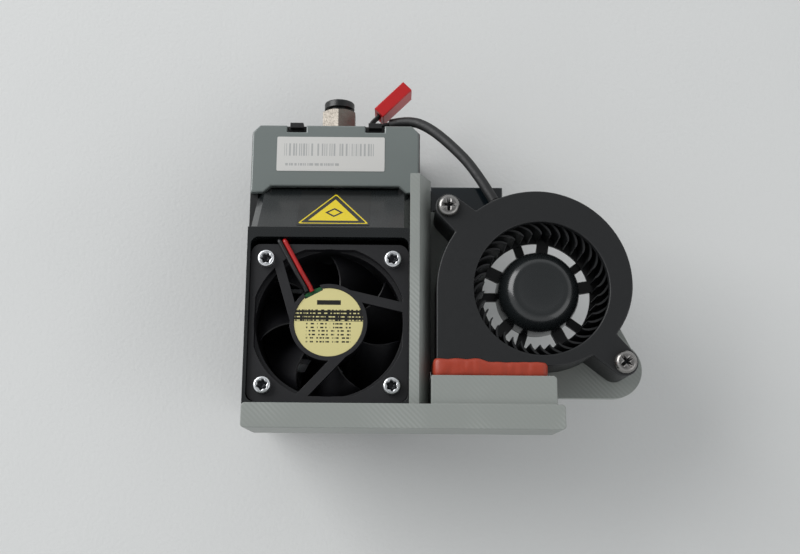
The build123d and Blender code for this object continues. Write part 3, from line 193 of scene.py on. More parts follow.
# %% Floor and lights
floor_half = 1.2
floor_mesh = bpy.data.meshes.new("sheet")
floor_mesh.from_pydata([(-floor_half, -floor_half, 0), (floor_half, -floor_half, 0),
                        (floor_half, floor_half, 0), (-floor_half, floor_half, 0)], [], [(0, 1, 2, 3)])
floor = bpy.data.objects.new("sheet", floor_mesh)
bpy.context.scene.collection.objects.link(floor)
paper = bpy.data.materials.new("Cotton sheet, white")
paper.use_nodes = True
tree = paper.node_tree
shader = tree.nodes["Principled BSDF"]
shader.inputs["Base Color"].default_value = linear("#D0D1D0")
shader.inputs["Roughness"].default_value = 0.85
shader.inputs["Specular IOR Level"].default_value = 0.2
place = add_node(tree, "ShaderNodeTexCoord").outputs["Object"]
threads = add_node(tree, "ShaderNodeTexNoise", {"Scale": 1 / mm(1.1), "Detail": 3.0}, {"Vector": place})
folds = add_node(tree, "ShaderNodeTexNoise", {"Scale": 1 / mm(60.0), "Detail": 1.0}, {"Vector": place})
lumps = add_node(tree, "ShaderNodeMath", {"operation": "MULTIPLY_ADD", 1: 12.0},
                 {0: folds.outputs["Fac"], 2: threads.outputs["Fac"]})
relief = add_node(tree, "ShaderNodeBump", {"Strength": 0.35, "Distance": mm(0.25)},
                  {"Height": lumps.outputs[0]})
tree.links.new(relief.outputs["Normal"], shader.inputs["Normal"])
floor_mesh.materials.append(paper)


def soft_light(name, place, aim, size, power):
    """A square area light at place that shines at aim."""
    data = bpy.data.lights.new(name, "AREA")
    data.shape = "SQUARE"
    data.size = size
    data.energy = power
    lamp = bpy.data.objects.new(name, data)
    lamp.location = Vector(place)
    lamp.rotation_euler = (Vector(aim) - Vector(place)).to_track_quat("-Z", "Y").to_euler()
    bpy.context.scene.collection.objects.link(lamp)


part_middle = ((cad_box[0][0] + cad_box[1][0]) / 2, (cad_box[0][1] + cad_box[1][1]) / 2, mm(20.0))
soft_light("window", (-0.95, 0.55, 0.75), part_middle, 1.0, 14.0)
soft_light("side_fill", (0.9, -0.5, 0.6), part_middle, 0.9, 2.0)
world = bpy.data.worlds.new("room")
world.use_nodes = True
tree = world.node_tree
sky = tree.nodes["Background"]
sky.inputs["Color"].default_value = linear("#E6E8EA")
ray = add_node(tree, "ShaderNodeTexCoord").outputs["Generated"]
ray_height = add_node(tree, "ShaderNodeSeparateXYZ", None, {0: ray}).outputs["Z"]
glow = add_node(tree, "ShaderNodeMapRange",
                {"From Min": 0.55, "From Max": 1.0, "To Min": 1.0, "To Max": 0.38}, {"Value": ray_height})
tree.links.new(glow.outputs["Result"], sky.inputs["Strength"])
bpy.context.scene.world = world
bpy.context.scene.view_settings.view_transform = "Standard"
bpy.context.scene.view_settings.exposure = -0.06

# %% [markdown]
# ## Finishes
# Most of the object is moulded plastic. What tells one moulding from another is its gloss, the
# grain of the steel mould and small changes of colour, so one function makes them all from those
# three. The grain is a noise a few tenths of a millimetre across, used both as a tiny bump and
# as a change of roughness, which breaks up the highlights as on the real surface.


# %% Moulded plastic and rubber
def moulded(name, colour, roughness, grain, bump, spread=0.12, coat=0.0):
    """Plastic or rubber from a mould: grain is in millimetres, spread is how far its colour varies."""
    material = bpy.data.materials.new(name)
    material.use_nodes = True
    tree = material.node_tree
    shader = tree.nodes["Principled BSDF"]
    shader.inputs["IOR"].default_value = 1.5
    shader.inputs["Coat Weight"].default_value = coat
    shader.inputs["Coat Roughness"].default_value = 0.12
    place = add_node(tree, "ShaderNodeTexCoord").outputs["Object"]
    fine = add_node(tree, "ShaderNodeTexNoise", {"Scale": 1 / mm(grain), "Detail": 3.0}, {"Vector": place})
    broad = add_node(tree, "ShaderNodeTexNoise", {"Scale": 1 / mm(18.0), "Detail": 4.0}, {"Vector": place})
    base = linear(colour)
    dark = (*[c * (1 - spread) for c in base[:3]], 1.0)
    light = (*[c * (1 + spread) for c in base[:3]], 1.0)
    tint = add_node(tree, "ShaderNodeMix", {"data_type": "RGBA", 6: dark, 7: light},
                    {0: broad.outputs["Fac"]})
    tree.links.new(tint.outputs[2], shader.inputs["Base Color"])
    gloss = add_node(tree, "ShaderNodeMapRange", {"From Min": 0.3, "From Max": 0.7,
                     "To Min": roughness * 0.85, "To Max": min(1.0, roughness * 1.15)},
                     {"Value": fine.outputs["Fac"]})
    tree.links.new(gloss.outputs["Result"], shader.inputs["Roughness"])
    relief = add_node(tree, "ShaderNodeBump", {"Strength": bump, "Distance": mm(0.03)},
                      {"Height": fine.outputs["Fac"]})
    tree.links.new(relief.outputs["Normal"], shader.inputs["Normal"])
    return material


finishes = {
    "shell_abs": moulded("ABS, fine spark-eroded grain", "#0E0F10", 0.42, 0.35, 0.5),
    # The cover is black ABS; its mid-grey base colour is a painted reflection of the room's light on its
    # glossy face.
    "cover_abs": moulded("ABS, black, with painted grey reflection", "#6E7573", 0.22, 0.25, 0.08, 0.08, 0.3),
    "shroud_abs": moulded("ABS, satin black", "#151819", 0.26, 0.25, 0.10, 0.10, 0.2),
    "fan_pbt": moulded("PBT with glass fibre, black", "#141417", 0.42, 0.3, 0.3),
    "blower_pbt": moulded("PBT, matt black", "#0B0D0F", 0.50, 0.3, 0.5),
    "hub_pbt": moulded("PBT, polished by handling", "#191C1D", 0.26, 0.3, 0.08, 0.1, 0.4),
    "plate_acrylic": moulded("Acrylic, polished black", "#10171B", 0.14, 0.5, 0.03, 0.05, 0.3),
    "contact_plastic": moulded("Nylon, black", "#1A1B1C", 0.45, 0.3, 0.3),
    "collar_acetal": moulded("Acetal, black", "#141516", 0.32, 0.3, 0.15),
    "red_nylon": moulded("Nylon, red", "#B01216", 0.34, 0.3, 0.2, 0.08),
    "black_rubber": moulded("Nitrile rubber", "#1A1A1A", 0.6, 0.3, 0.5),
    "silicone": moulded("Silicone rubber, blue grey", "#3E4A63", 0.5, 0.4, 0.3),
    "ptfe": moulded("PTFE, extruded", "#E8E6DE", 0.35, 0.5, 0.1, 0.03),
    "red_lead": moulded("PVC insulation, red", "#A31313", 0.38, 0.5, 0.1),
    "black_lead": moulded("PVC insulation, black", "#161617", 0.38, 0.5, 0.1),
    "ferrite": moulded("Ferrite magnet", "#2A2A2B", 0.7, 0.2, 0.6),
    "green_laminate": moulded("Glass epoxy, green solder mask", "#1F6B3A", 0.3, 1.2, 0.1),
}
print("moulded finishes", len(finishes))

# %% [markdown]
# ## Metals
# Screws and fittings are steel or brass under zinc or nickel. A metal has no colour of its own
# beyond the tint of its reflections, so the finish is mostly in the roughness: fine turning or drawing
# marks and a little tarnish, plus painted shade on the floor of a screw's recess. The default index of
# refraction stays, as for every metal.


# %% Plated and bare metal
def metal(name, colour, roughness, mark, tarnish="#8A8478"):
    """Metal with fine marks, mark millimetres apart, and faint tarnish, and painted shade where the recess
    attribute is set.
    """
    material = bpy.data.materials.new(name)
    material.use_nodes = True
    tree = material.node_tree
    shader = tree.nodes["Principled BSDF"]
    shader.inputs["Metallic"].default_value = 1.0
    place = add_node(tree, "ShaderNodeTexCoord").outputs["Object"]
    marks = add_node(tree, "ShaderNodeTexNoise", {"Scale": 1 / mm(mark), "Detail": 5.0}, {"Vector": place})
    cloud = add_node(tree, "ShaderNodeTexNoise", {"Scale": 1 / mm(3.0), "Detail": 4.0}, {"Vector": place})
    spots = add_node(tree, "ShaderNodeMapRange", {"From Min": 0.5, "From Max": 0.75, "To Max": 0.5},
                     {"Value": cloud.outputs["Fac"]})
    tint = add_node(tree, "ShaderNodeMix", {"data_type": "RGBA", 6: linear(colour), 7: linear(tarnish)},
                    {0: spots.outputs["Result"]})
    # Painted shade: where a screw head's recess attribute is 1, the colour is mixed to dark grey, as if the
    # recess were in shadow.
    recess = add_node(tree, "ShaderNodeAttribute", {"attribute_name": "recess"})
    shaded = add_node(tree, "ShaderNodeMix", {"data_type": "RGBA", 7: linear("#2B2C2E")},
                      {0: recess.outputs["Fac"], 6: tint.outputs[2]})
    tree.links.new(shaded.outputs[2], shader.inputs["Base Color"])
    gloss = add_node(tree, "ShaderNodeMapRange", {"From Min": 0.35, "From Max": 0.65,
                     "To Min": roughness * 0.7, "To Max": roughness * 1.4}, {"Value": marks.outputs["Fac"]})
    tree.links.new(gloss.outputs["Result"], shader.inputs["Roughness"])
    relief = add_node(tree, "ShaderNodeBump", {"Strength": 0.12, "Distance": mm(0.02)},
                      {"Height": marks.outputs["Fac"]})
    tree.links.new(relief.outputs["Normal"], shader.inputs["Normal"])
    return material


finishes["bright_steel"] = metal("Steel, bright nickel plate", "#E6E8EA", 0.26, 0.15, "#D8DADC")
finishes["zinc_steel"] = metal("Steel, zinc plate", "#B9BEC2", 0.32, 0.3)
finishes["dark_steel"] = metal("Steel, black nickel plate", "#8E8C8A", 0.24, 0.15, "#6C6864")
finishes["cast_aluminium"] = metal("Aluminium, milled", "#C9CDD1", 0.38, 0.2)
finishes["nozzle_brass"] = metal("Brass, turned", "#D9B36A", 0.30, 0.2)
finishes["bearing_bronze"] = metal("Bronze, sintered", "#B08A5A", 0.45, 0.15)
finishes["copper_winding"] = metal("Copper wire, enamelled", "#B8683A", 0.35, 0.25)
finishes["nickel_brass"] = metal("Brass, satin nickel plate", "#77726B", 0.36, 0.4, "#57514A")
finishes["contact_tin"] = metal("Brass, tin plate", "#C8CACC", 0.25, 0.3)
print("finishes so far", len(finishes))

# %% [markdown]
# ## Printed plastic
# The bracket and the duct are printed in light grey PLA. Every face that lies flat in a layer shows the
# diagonal strokes of its last layer, and every upright face shows the edges of the layers one
# above the other. The layers are stacked along Z here, so the face's own direction says which of
# the two patterns it gets. Real strokes are 0.45 mm wide, and they are drawn 0.95 mm apart so that
# they show.

# %% Printed finish
stroke_pitch = mm(0.95)
layer_pitch = mm(0.4)
wave_scale = 0.314        # a wave texture's scale is this over its pitch
printed = bpy.data.materials.new("PLA, fused filament layers")
printed.use_nodes = True
tree = printed.node_tree
shader = tree.nodes["Principled BSDF"]
shader.inputs["IOR"].default_value = 1.46
place = add_node(tree, "ShaderNodeTexCoord").outputs["Object"]
facing = add_node(tree, "ShaderNodeNewGeometry").outputs["True Normal"]
facing_parts = add_node(tree, "ShaderNodeSeparateXYZ", None, {0: facing})
flatness = add_node(tree, "ShaderNodeMath", {"operation": "ABSOLUTE"}, {0: facing_parts.outputs["Z"]})
is_flat = add_node(tree, "ShaderNodeMath", {"operation": "GREATER_THAN", 1: 0.9}, {0: flatness.outputs[0]})
turned_place = add_node(tree, "ShaderNodeMapping", {"Rotation": (0.0, 0.0, math.radians(-45.0))},
                        {"Vector": place})
strokes = add_node(tree, "ShaderNodeTexWave", {"wave_type": "BANDS", "bands_direction": "X",
                   "Scale": wave_scale / stroke_pitch, "Distortion": 0.6, "Detail": 2.0, "Detail Scale": 1.5},
                   {"Vector": turned_place.outputs[0]})
layers = add_node(tree, "ShaderNodeTexWave", {"wave_type": "BANDS", "bands_direction": "Z",
                  "Scale": wave_scale / layer_pitch, "Distortion": 0.4, "Detail": 2.0}, {"Vector": place})
height = add_node(tree, "ShaderNodeMix", {"data_type": "FLOAT"},
                  {0: is_flat.outputs[0], 2: layers.outputs["Fac"], 3: strokes.outputs["Fac"]})
patches = add_node(tree, "ShaderNodeTexNoise", {"Scale": 1 / mm(20.0), "Detail": 2.0}, {"Vector": place})
fade = add_node(tree, "ShaderNodeMapRange",
                {"From Min": 0.42, "From Max": 0.62, "To Min": 0.12, "To Max": 1.0},
                {"Value": patches.outputs["Fac"]})
shown_height = add_node(tree, "ShaderNodeMath", {"operation": "MULTIPLY"},
                        {0: height.outputs[0], 1: fade.outputs["Result"]})
relief = add_node(tree, "ShaderNodeBump", {"Strength": 0.35, "Distance": mm(0.08)},
                  {"Height": shown_height.outputs[0]})
tree.links.new(relief.outputs["Normal"], shader.inputs["Normal"])
# The colour follows the stroke and layer height: the crests are painted lighter, a painted highlight on the
# real relief.
tint = add_node(tree, "ShaderNodeMix", {"data_type": "RGBA", 6: linear("#878B87"), 7: linear("#969A96")},
                {0: shown_height.outputs[0]})
tree.links.new(tint.outputs[2], shader.inputs["Base Color"])
gloss = add_node(tree, "ShaderNodeMapRange", {"To Min": 0.36, "To Max": 0.52},
                 {"Value": patches.outputs["Fac"]})
tree.links.new(gloss.outputs["Result"], shader.inputs["Roughness"])
finishes["grey_print"] = printed
print("stroke pitch", stroke_pitch)

# %% [markdown]
# ## Sleeve and tape
# The cable's sleeve is a fine polyester braid, too fine to see thread by thread, so a fine noise grain
# stands for it. The tape is self-fusing silicone: soft, slightly shiny, with stretch marks.

# %% Sleeve and tape finishes
finishes["cable_sleeve"] = moulded("Polyester braid, black", "#18191A", 0.55, 0.5, 0.9)
finishes["orange_tape"] = moulded("Silicone tape, self-fusing, orange red", "#9C3620", 0.42, 0.9, 0.6, 0.12)
print("finishes", len(finishes))

# %% [markdown]
# ## Stickers
# Three flat stickers: a white one with a strip of grey bars, a black and yellow caution film on the
# sloping shroud, and a cream disc with a dark band on the fan's hub. Each is the design's own thin
# solid under a printed film, so their prints are drawn by the material from Object coordinates.


# %% Printed films
def film(name, ground):
    """A printed film, ready for its print. Returns the material, its tree, shader and place."""
    material = bpy.data.materials.new(name)
    material.use_nodes = True
    tree = material.node_tree
    shader = tree.nodes["Principled BSDF"]
    shader.inputs["Base Color"].default_value = linear(ground)
    shader.inputs["Roughness"].default_value = 0.34
    place = add_node(tree, "ShaderNodeTexCoord").outputs["Object"]
    return material, tree, shader, place


def between(tree, value, low, high):
    """A mask that is 1 where value lies between low and high."""
    above = add_node(tree, "ShaderNodeMath", {"operation": "GREATER_THAN", 1: low}, {0: value})
    below = add_node(tree, "ShaderNodeMath", {"operation": "LESS_THAN", 1: high}, {0: value})
    both = add_node(tree, "ShaderNodeMath", {"operation": "MULTIPLY"},
                    {0: above.outputs[0], 1: below.outputs[0]})
    return both.outputs[0]


def times(tree, first, second):
    """The product of two masks."""
    return add_node(tree, "ShaderNodeMath", {"operation": "MULTIPLY"}, {0: first, 1: second}).outputs[0]


paper_white = "#C9C8C5"
label_low, label_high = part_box("id_label")
white_film, tree, shader, place = film("Paper film, white", paper_white)
axes = add_node(tree, "ShaderNodeSeparateXYZ", None, {0: place})
bars = add_node(tree, "ShaderNodeTexNoise", {"noise_dimensions": "1D", "Scale": 1 / mm(0.55), "Detail": 0.0},
                {"W": axes.outputs["X"]})
bar_mask = between(tree, bars.outputs["Fac"], 0.0, 0.47)
strip = between(tree, axes.outputs["Y"], label_high.y - mm(5.4), label_high.y - mm(1.9))
inside = between(tree, axes.outputs["X"], label_low.x + mm(2.0), label_high.x - mm(2.0))
barcode = times(tree, times(tree, bar_mask, strip), inside)
dashes = add_node(tree, "ShaderNodeTexNoise", {"noise_dimensions": "1D", "Scale": 1 / mm(0.5), "Detail": 0.0},
                  {"W": axes.outputs["X"]})
dash_mask = between(tree, dashes.outputs["Fac"], 0.45, 1.0)
dash_row = between(tree, axes.outputs["Y"], label_low.y + mm(1.5), label_low.y + mm(2.2))
dash_span = between(tree, axes.outputs["X"], label_low.x + mm(2.0), label_low.x + mm(17.0))
row = times(tree, times(tree, dash_mask, dash_row), dash_span)
print_mask = add_node(tree, "ShaderNodeMath", {"operation": "MAXIMUM"}, {0: barcode, 1: row})
ink = add_node(tree, "ShaderNodeMix", {"data_type": "RGBA", 6: linear(paper_white), 7: linear("#A6A7A6")},
               {0: print_mask.outputs[0]})
tree.links.new(ink.outputs[2], shader.inputs["Base Color"])
finishes["white_label"] = white_film

cream = "#CFC68C"
cream_film, tree, shader, place = film("Metallised film, cream", cream)
axes = add_node(tree, "ShaderNodeSeparateXYZ", None, {0: place})
shader.inputs["Roughness"].default_value = 0.28
band = between(tree, axes.outputs["Y"], mm(0.2), mm(3.2))
lines = add_node(tree, "ShaderNodeMath", {"operation": "PINGPONG", 1: mm(0.9)}, {0: axes.outputs["Y"]})
line_mask = between(tree, lines.outputs[0], mm(0.22), mm(0.62))
row_number = add_node(tree, "ShaderNodeMath", {"operation": "SNAP", 1: mm(1.8)}, {0: axes.outputs["Y"]})
word_place = add_node(tree, "ShaderNodeMath", {"operation": "MULTIPLY_ADD", 1: 7.3},
                      {0: row_number.outputs[0], 2: axes.outputs["X"]})
words = add_node(tree, "ShaderNodeTexNoise", {"noise_dimensions": "1D", "Scale": 1 / mm(0.8), "Detail": 1.0},
                 {"W": word_place.outputs[0]})
word_mask = between(tree, words.outputs["Fac"], 0.50, 1.0)
low_block = between(tree, axes.outputs["Y"], mm(-5.4), mm(0.0))
side_limit = between(tree, axes.outputs["X"], mm(-5.6), mm(5.6))
marks = times(tree, times(tree, times(tree, line_mask, word_mask), low_block), side_limit)
crest = between(tree, axes.outputs["Y"], mm(4.4), mm(5.6))
crest_limit = between(tree, axes.outputs["X"], mm(-3.0), mm(3.0))
dark = add_node(tree, "ShaderNodeMath", {"operation": "MAXIMUM"},
                {0: marks, 1: times(tree, crest, crest_limit)})
dark = add_node(tree, "ShaderNodeMath", {"operation": "MAXIMUM"}, {0: dark.outputs[0], 1: band})
pale = times(tree, times(tree, between(tree, lines.outputs[0], mm(0.3), mm(0.6)), word_mask), band)
ink = add_node(tree, "ShaderNodeMix", {"data_type": "RGBA", 6: linear(cream), 7: linear("#1B1A17")},
               {0: dark.outputs[0]})
ink = add_node(tree, "ShaderNodeMix", {"data_type": "RGBA", 7: linear(cream)}, {0: pale, 6: ink.outputs[2]})
tree.links.new(ink.outputs[2], shader.inputs["Base Color"])
finishes["cream_foil"] = cream_film
print("films", white_film.name, cream_film.name)

# %% [markdown]
# ## Rounded edges
# Nothing moulded or printed has a perfectly sharp edge, and the thin bright line where light catches
# a rounded edge is most of what makes it look real. The solids come as loose triangles, so a copy of
# each is merged, its flat faces are joined, and a Bevel modifier rounds the corners that are
# sharper than 30 degrees.


# %% Round the edges of the main solids
own_slots = {}


def soften(node, width, body="module"):
    """A copy of a solid with its flat faces joined and its corners rounded, in place of the solid."""
    mesh = nodes[node].data.copy()
    shape = bmesh.new()
    shape.from_mesh(mesh)
    bmesh.ops.remove_doubles(shape, verts=shape.verts, dist=mm(0.002))
    bmesh.ops.dissolve_limit(shape, angle_limit=math.radians(0.6), verts=shape.verts, edges=shape.edges,
                             delimit={"NORMAL"})
    shape.to_mesh(mesh)
    shape.free()
    mesh.name = node + "_rounded"
    slot_name = next(entry["material_slot"] for entry in frame["record"]["subparts"] if entry["node"] == node)
    piece = new_piece(node + "_rounded", mesh, body, [node])
    mesh.shade_smooth()
    edge = piece.modifiers.new("edge", "BEVEL")
    edge.width = mm(width)
    edge.segments = 2
    edge.limit_method = "ANGLE"
    edge.angle_limit = math.radians(30.0)
    shade = piece.modifiers.new("shade", "WEIGHTED_NORMAL")
    shade.keep_sharp = True
    own_slots[piece] = slot_name
    return piece


for node, width in (("rear_shell", 0.3), ("front_cover", 0.2), ("fan_shroud", 0.3), ("fan_frame", 0.2),
                    ("air_duct", 0.35), ("blower_bracket", 0.3), ("top_mount_plate", 0.15),
                    ("blower_base", 0.35), ("blower_cover", 0.4), ("connector_housing", 0.2),
                    ("fitting_body", 0.15), ("fitting_collet", 0.15)):
    rounded = soften(node, width, "collet" if node == "fitting_collet" else "module")
    print(rounded.name, len(rounded.data.polygons))

# %% [markdown]
# ## The caution film
# A glossy black film on the slope carries a yellow triangle with a black border. The mark inside
# it is a plain diamond. It could be an image, but three signed distances and a smooth maximum
# draw a rounded triangle at any size. The slope's own axes come from dot products with the place.

# %% Print on the caution film
slope_origin = mm(0.5, 31.7, 36.5)
black_film, tree, shader, place = film("Vinyl film, black", "#0E0F10")
shader.inputs["Roughness"].default_value = 0.2
moved = add_node(tree, "ShaderNodeVectorMath", {"operation": "SUBTRACT", 1: slope_origin}, {0: place})


def along(direction):
    """How far a point of the slope lies along a direction, from the film's middle."""
    return add_node(tree, "ShaderNodeVectorMath", {"operation": "DOT_PRODUCT", 1: direction},
                    {0: moved.outputs[0]}).outputs["Value"]


def distance_to(angle, reach):
    """Signed distance to a straight edge of the film's plane that faces angle, reach away."""
    across = math.cos(math.radians(angle))
    up = math.sin(math.radians(angle)) / math.sqrt(2.0)
    return add_node(tree, "ShaderNodeMath", {"operation": "SUBTRACT", 1: reach},
                    {0: along((across, up, -up))}).outputs[0]


def combine(first, second, operation, reach=0.0):
    """Two masks or distances as one."""
    settings = {"operation": operation}
    if reach:
        settings[2] = reach
    return add_node(tree, "ShaderNodeMath", settings, {0: first, 1: second}).outputs[0]


triangle_reach = mm(5.2)
triangle_shift = mm(3.0)
corner_rounding = mm(1.0)
bottom = distance_to(270.0, triangle_reach + triangle_shift)
right = distance_to(30.0, triangle_reach - triangle_shift / 2)
left = distance_to(150.0, triangle_reach - triangle_shift / 2)
triangle = combine(combine(bottom, right, "SMOOTH_MAX", corner_rounding), left, "SMOOTH_MAX", corner_rounding)
inner = combine(combine(bottom, right, "MAXIMUM"), left, "MAXIMUM")
outline = between(tree, triangle, mm(-0.28), mm(0.08))
filling = between(tree, inner, mm(-20.0), mm(-1.45))
diamond = combine(combine(distance_to(45.0, mm(-0.1)), distance_to(135.0, mm(-0.1)), "MAXIMUM"),
                  combine(distance_to(225.0, mm(3.5)), distance_to(315.0, mm(3.5)), "MAXIMUM"), "MAXIMUM")
hollow = between(tree, diamond, mm(-0.6), 0.0)
sign = add_node(tree, "ShaderNodeMath", {"operation": "SUBTRACT", "use_clamp": True},
                {0: filling, 1: hollow})
yellow = add_node(tree, "ShaderNodeMath", {"operation": "MAXIMUM"}, {0: sign.outputs[0], 1: outline})
print_tint = add_node(tree, "ShaderNodeMix",
                      {"data_type": "RGBA", 6: linear("#1A1B1B"), 7: linear("#DCC410")},
                      {0: yellow.outputs[0]})
tree.links.new(print_tint.outputs[2], shader.inputs["Base Color"])
finishes["caution_film"] = black_film
print("caution film printed")

# %% [markdown]
# ## Repeated parts
# The impeller's blades and the screws' heads repeat, so each is modelled once and Geometry Nodes
# places the copies: on a circle for the blades and the fan's screws, on a line for the blower's.
# The copies are made real and get their material in the same tree, and the result is
# kept as a plain mesh, so that each piece can leave this scene alone.


# %% Geometry Nodes for a ring or a row
def copies_tree(name, points_kind, settings):
    """A tree that puts one object on the points of a circle or a line, turned with the circle."""
    tree = bpy.data.node_groups.new(name, "GeometryNodeTree")
    sockets = {}
    for label, kind in (("Original", "NodeSocketObject"), ("Count", "NodeSocketInt"),
                        ("Turn", "NodeSocketFloat"), ("Finish", "NodeSocketMaterial")):
        sockets[label] = tree.interface.new_socket(label, in_out="INPUT", socket_type=kind).identifier
    tree.interface.new_socket("Copies", in_out="OUTPUT", socket_type="NodeSocketGeometry")
    given = tree.nodes.new("NodeGroupInput")
    result = tree.nodes.new("NodeGroupOutput")
    points = add_node(tree, points_kind, settings, {"Count" if "Line" in points_kind else "Vertices":
                                                    given.outputs["Count"]})
    original = add_node(tree, "GeometryNodeObjectInfo", None, {"Object": given.outputs["Original"]})
    index = add_node(tree, "GeometryNodeInputIndex")
    angle = add_node(tree, "ShaderNodeMath", {"operation": "MULTIPLY"},
                     {0: index.outputs[0], 1: given.outputs["Turn"]})
    turn = add_node(tree, "ShaderNodeCombineXYZ", None, {"Z": angle.outputs[0]})
    placed = add_node(tree, "GeometryNodeInstanceOnPoints", None,
                      {"Points": points.outputs["Mesh"], "Instance": original.outputs["Geometry"],
                       "Rotation": turn.outputs[0]})
    real = add_node(tree, "GeometryNodeRealizeInstances", None, {"Geometry": placed.outputs["Instances"]})
    finish = add_node(tree, "GeometryNodeSetMaterial", None,
                      {"Geometry": real.outputs["Geometry"], "Material": given.outputs["Finish"]})
    tree.links.new(finish.outputs["Geometry"], result.inputs[0])
    return tree, sockets


def place_copies(name, original, tree, sockets, count, turn, shift, spin, body, slot_name, stands_for=()):
    """The tree's result as a plain mesh, moved by shift after a spin about Z, as a finished piece."""
    carrier = bpy.data.objects.new(name + "_carrier", bpy.data.meshes.new(name + "_carrier"))
    bpy.context.scene.collection.objects.link(carrier)
    modifier = carrier.modifiers.new("copies", "NODES")
    modifier.node_group = tree
    modifier[sockets["Original"]] = original
    modifier[sockets["Count"]] = count
    modifier[sockets["Turn"]] = turn
    modifier[sockets["Finish"]] = finishes[slot_name]
    bpy.context.view_layer.update()
    evaluated = carrier.evaluated_get(bpy.context.evaluated_depsgraph_get())
    mesh = bpy.data.meshes.new_from_object(evaluated)
    bpy.data.objects.remove(carrier)
    bpy.data.objects.remove(original)
    mesh.transform(Matrix.Translation(shift) @ Matrix.Rotation(spin, 4, "Z"))
    mesh.name = name
    mesh.shade_smooth()
    piece = new_piece(name, mesh, body, stands_for)
    own_slots[piece] = slot_name
    return piece


def loose_object(name, vertices, faces):
    """An unfinished mesh object at the origin, for the copies tree."""
    mesh = bpy.data.meshes.new(name)
    mesh.from_pydata(vertices, [], faces)
    shape = bmesh.new()
    shape.from_mesh(mesh)
    bmesh.ops.recalc_face_normals(shape, faces=shape.faces)
    shape.to_mesh(mesh)
    shape.free()
    loose = bpy.data.objects.new(name, mesh)
    bpy.context.scene.collection.objects.link(loose)
    return loose


print("copy helpers ready")

# %% [markdown]
# ## Screw heads
# Each head is a stack of rings: the recess floor, the recess wall in the driver's shape, the round
# crown and the shank. Only the recess rings change their radius round the axis: a rounded six-lobed star
# for the fan's screws and a cross for the blower's.

# %% Screws
head_steps = 72
weld = mm(0.0005)
shank_radius = mm(1.5)
fan_head_radius = mm(2.2)
ear_head_radius = mm(2.8)


def ring(radius, z, outline=None):
    """One ring of a head. outline gives the radius for an angle."""
    turns = [2 * math.pi * k / head_steps for k in range(head_steps)]
    return [((outline(t) if outline else radius) * math.cos(t),
             (outline(t) if outline else radius) * math.sin(t), z) for t in turns]


def six_lobes(turn):
    """The wavy outline of a six-lobed recess."""
    return mm(1.32 + 0.17 * math.cos(6 * turn))


def cross(turn):
    """The outline of a cross recess: two slots that taper outwards."""
    side = min(abs(math.sin(turn)), abs(math.cos(turn)))
    return mm(min(1.75 - 0.35 * side, 0.42 / max(side, 0.05)))


def screw(name, outline, crown, floor_z, floor_scale, shank_end):
    """A pan head with a recess and a plain shank. crown lists (radius, z) from the recess outwards."""
    rings = [[(0.0, 0.0, floor_z)] * head_steps,
             ring(0, floor_z, lambda t: outline(t) * floor_scale), ring(0, crown[0][1] - mm(0.05), outline),
             ring(0, crown[0][1], lambda t: outline(t) + mm(0.06))]
    rings += [ring(radius, z) for radius, z in crown[1:]]
    rings += [ring(shank_radius, crown[-1][1]), ring(shank_radius, shank_end),
              [(0.0, 0.0, shank_end)] * head_steps]
    vertices = [point for one in rings for point in one]
    faces = []
    for k in range(len(rings) - 1):
        for j in range(head_steps):
            i = (j + 1) % head_steps
            this, above = k * head_steps, (k + 1) * head_steps
            faces.append((this + j, this + i, above + i, above + j))
    head = loose_object(name, vertices, faces)
    # The floor of the recess is marked with the recess attribute, which the metal finish turns into painted
    # shade.
    recess = head.data.attributes.new("recess", "FLOAT", "POINT")
    for index in range(2 * head_steps):
        recess.data[index].value = 1.0
    shape = bmesh.new()
    shape.from_mesh(head.data)
    bmesh.ops.remove_doubles(shape, verts=shape.verts, dist=weld)
    bmesh.ops.recalc_face_normals(shape, faces=shape.faces)
    shape.to_mesh(head.data)
    shape.free()
    return head


fan_low, fan_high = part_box("fan_screws")
fan_top = fan_high.z
fan_head = screw("fan_head", six_lobes,
                 [(0, fan_top), (mm(1.75), fan_top - mm(0.02)), (mm(2.0), fan_top - mm(0.14)),
                  (mm(2.15), fan_top - mm(0.42)), (fan_head_radius, fan_top - mm(0.9)),
                  (fan_head_radius, fan_top - mm(1.98))],
                 fan_top - mm(1.3), 0.8, fan_low.z)
screw_ring = math.hypot((fan_high.x - fan_low.x) / 2 - fan_head_radius,
                        (fan_high.y - fan_low.y) / 2 - fan_head_radius)
tree, sockets = copies_tree("screws_on_a_circle", "GeometryNodeMeshCircle", {"Radius": screw_ring})
fan_middle = Vector(((fan_low.x + fan_high.x) / 2, (fan_low.y + fan_high.y) / 2, 0.0))
heads = place_copies("fan_screw_heads", fan_head, tree, sockets, 4, math.radians(77.0), fan_middle,
                     math.radians(45.0), "module", "bright_steel", ["fan_screws"])

ear_low, ear_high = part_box("blower_screws")
ear_top = ear_high.z
ear_head = screw("ear_head", cross,
                 [(0, ear_top), (mm(1.95), ear_top - mm(0.05)), (mm(2.35), ear_top - mm(0.3)),
                  (mm(2.65), ear_top - mm(0.75)), (ear_head_radius, ear_top - mm(1.3)),
                  (ear_head_radius, ear_top - mm(1.98))],
                 ear_top - mm(1.5), 0.45, ear_low.z)
first_ear = Vector((ear_low.x + ear_head_radius, ear_high.y - ear_head_radius, 0.0))
last_ear = Vector((ear_high.x - ear_head_radius, ear_low.y + ear_head_radius, 0.0))
tree, sockets = copies_tree("screws_on_a_line", "GeometryNodeMeshLine",
                            {"mode": "END_POINTS", "Start Location": first_ear, "Offset": last_ear})
ears = place_copies("blower_screw_heads", ear_head, tree, sockets, 2, math.radians(38.0), Vector((0, 0, 0)),
                    0.0, "module", "dark_steel", ["blower_screws"])
print("heads", len(heads.data.vertices), len(ears.data.vertices))

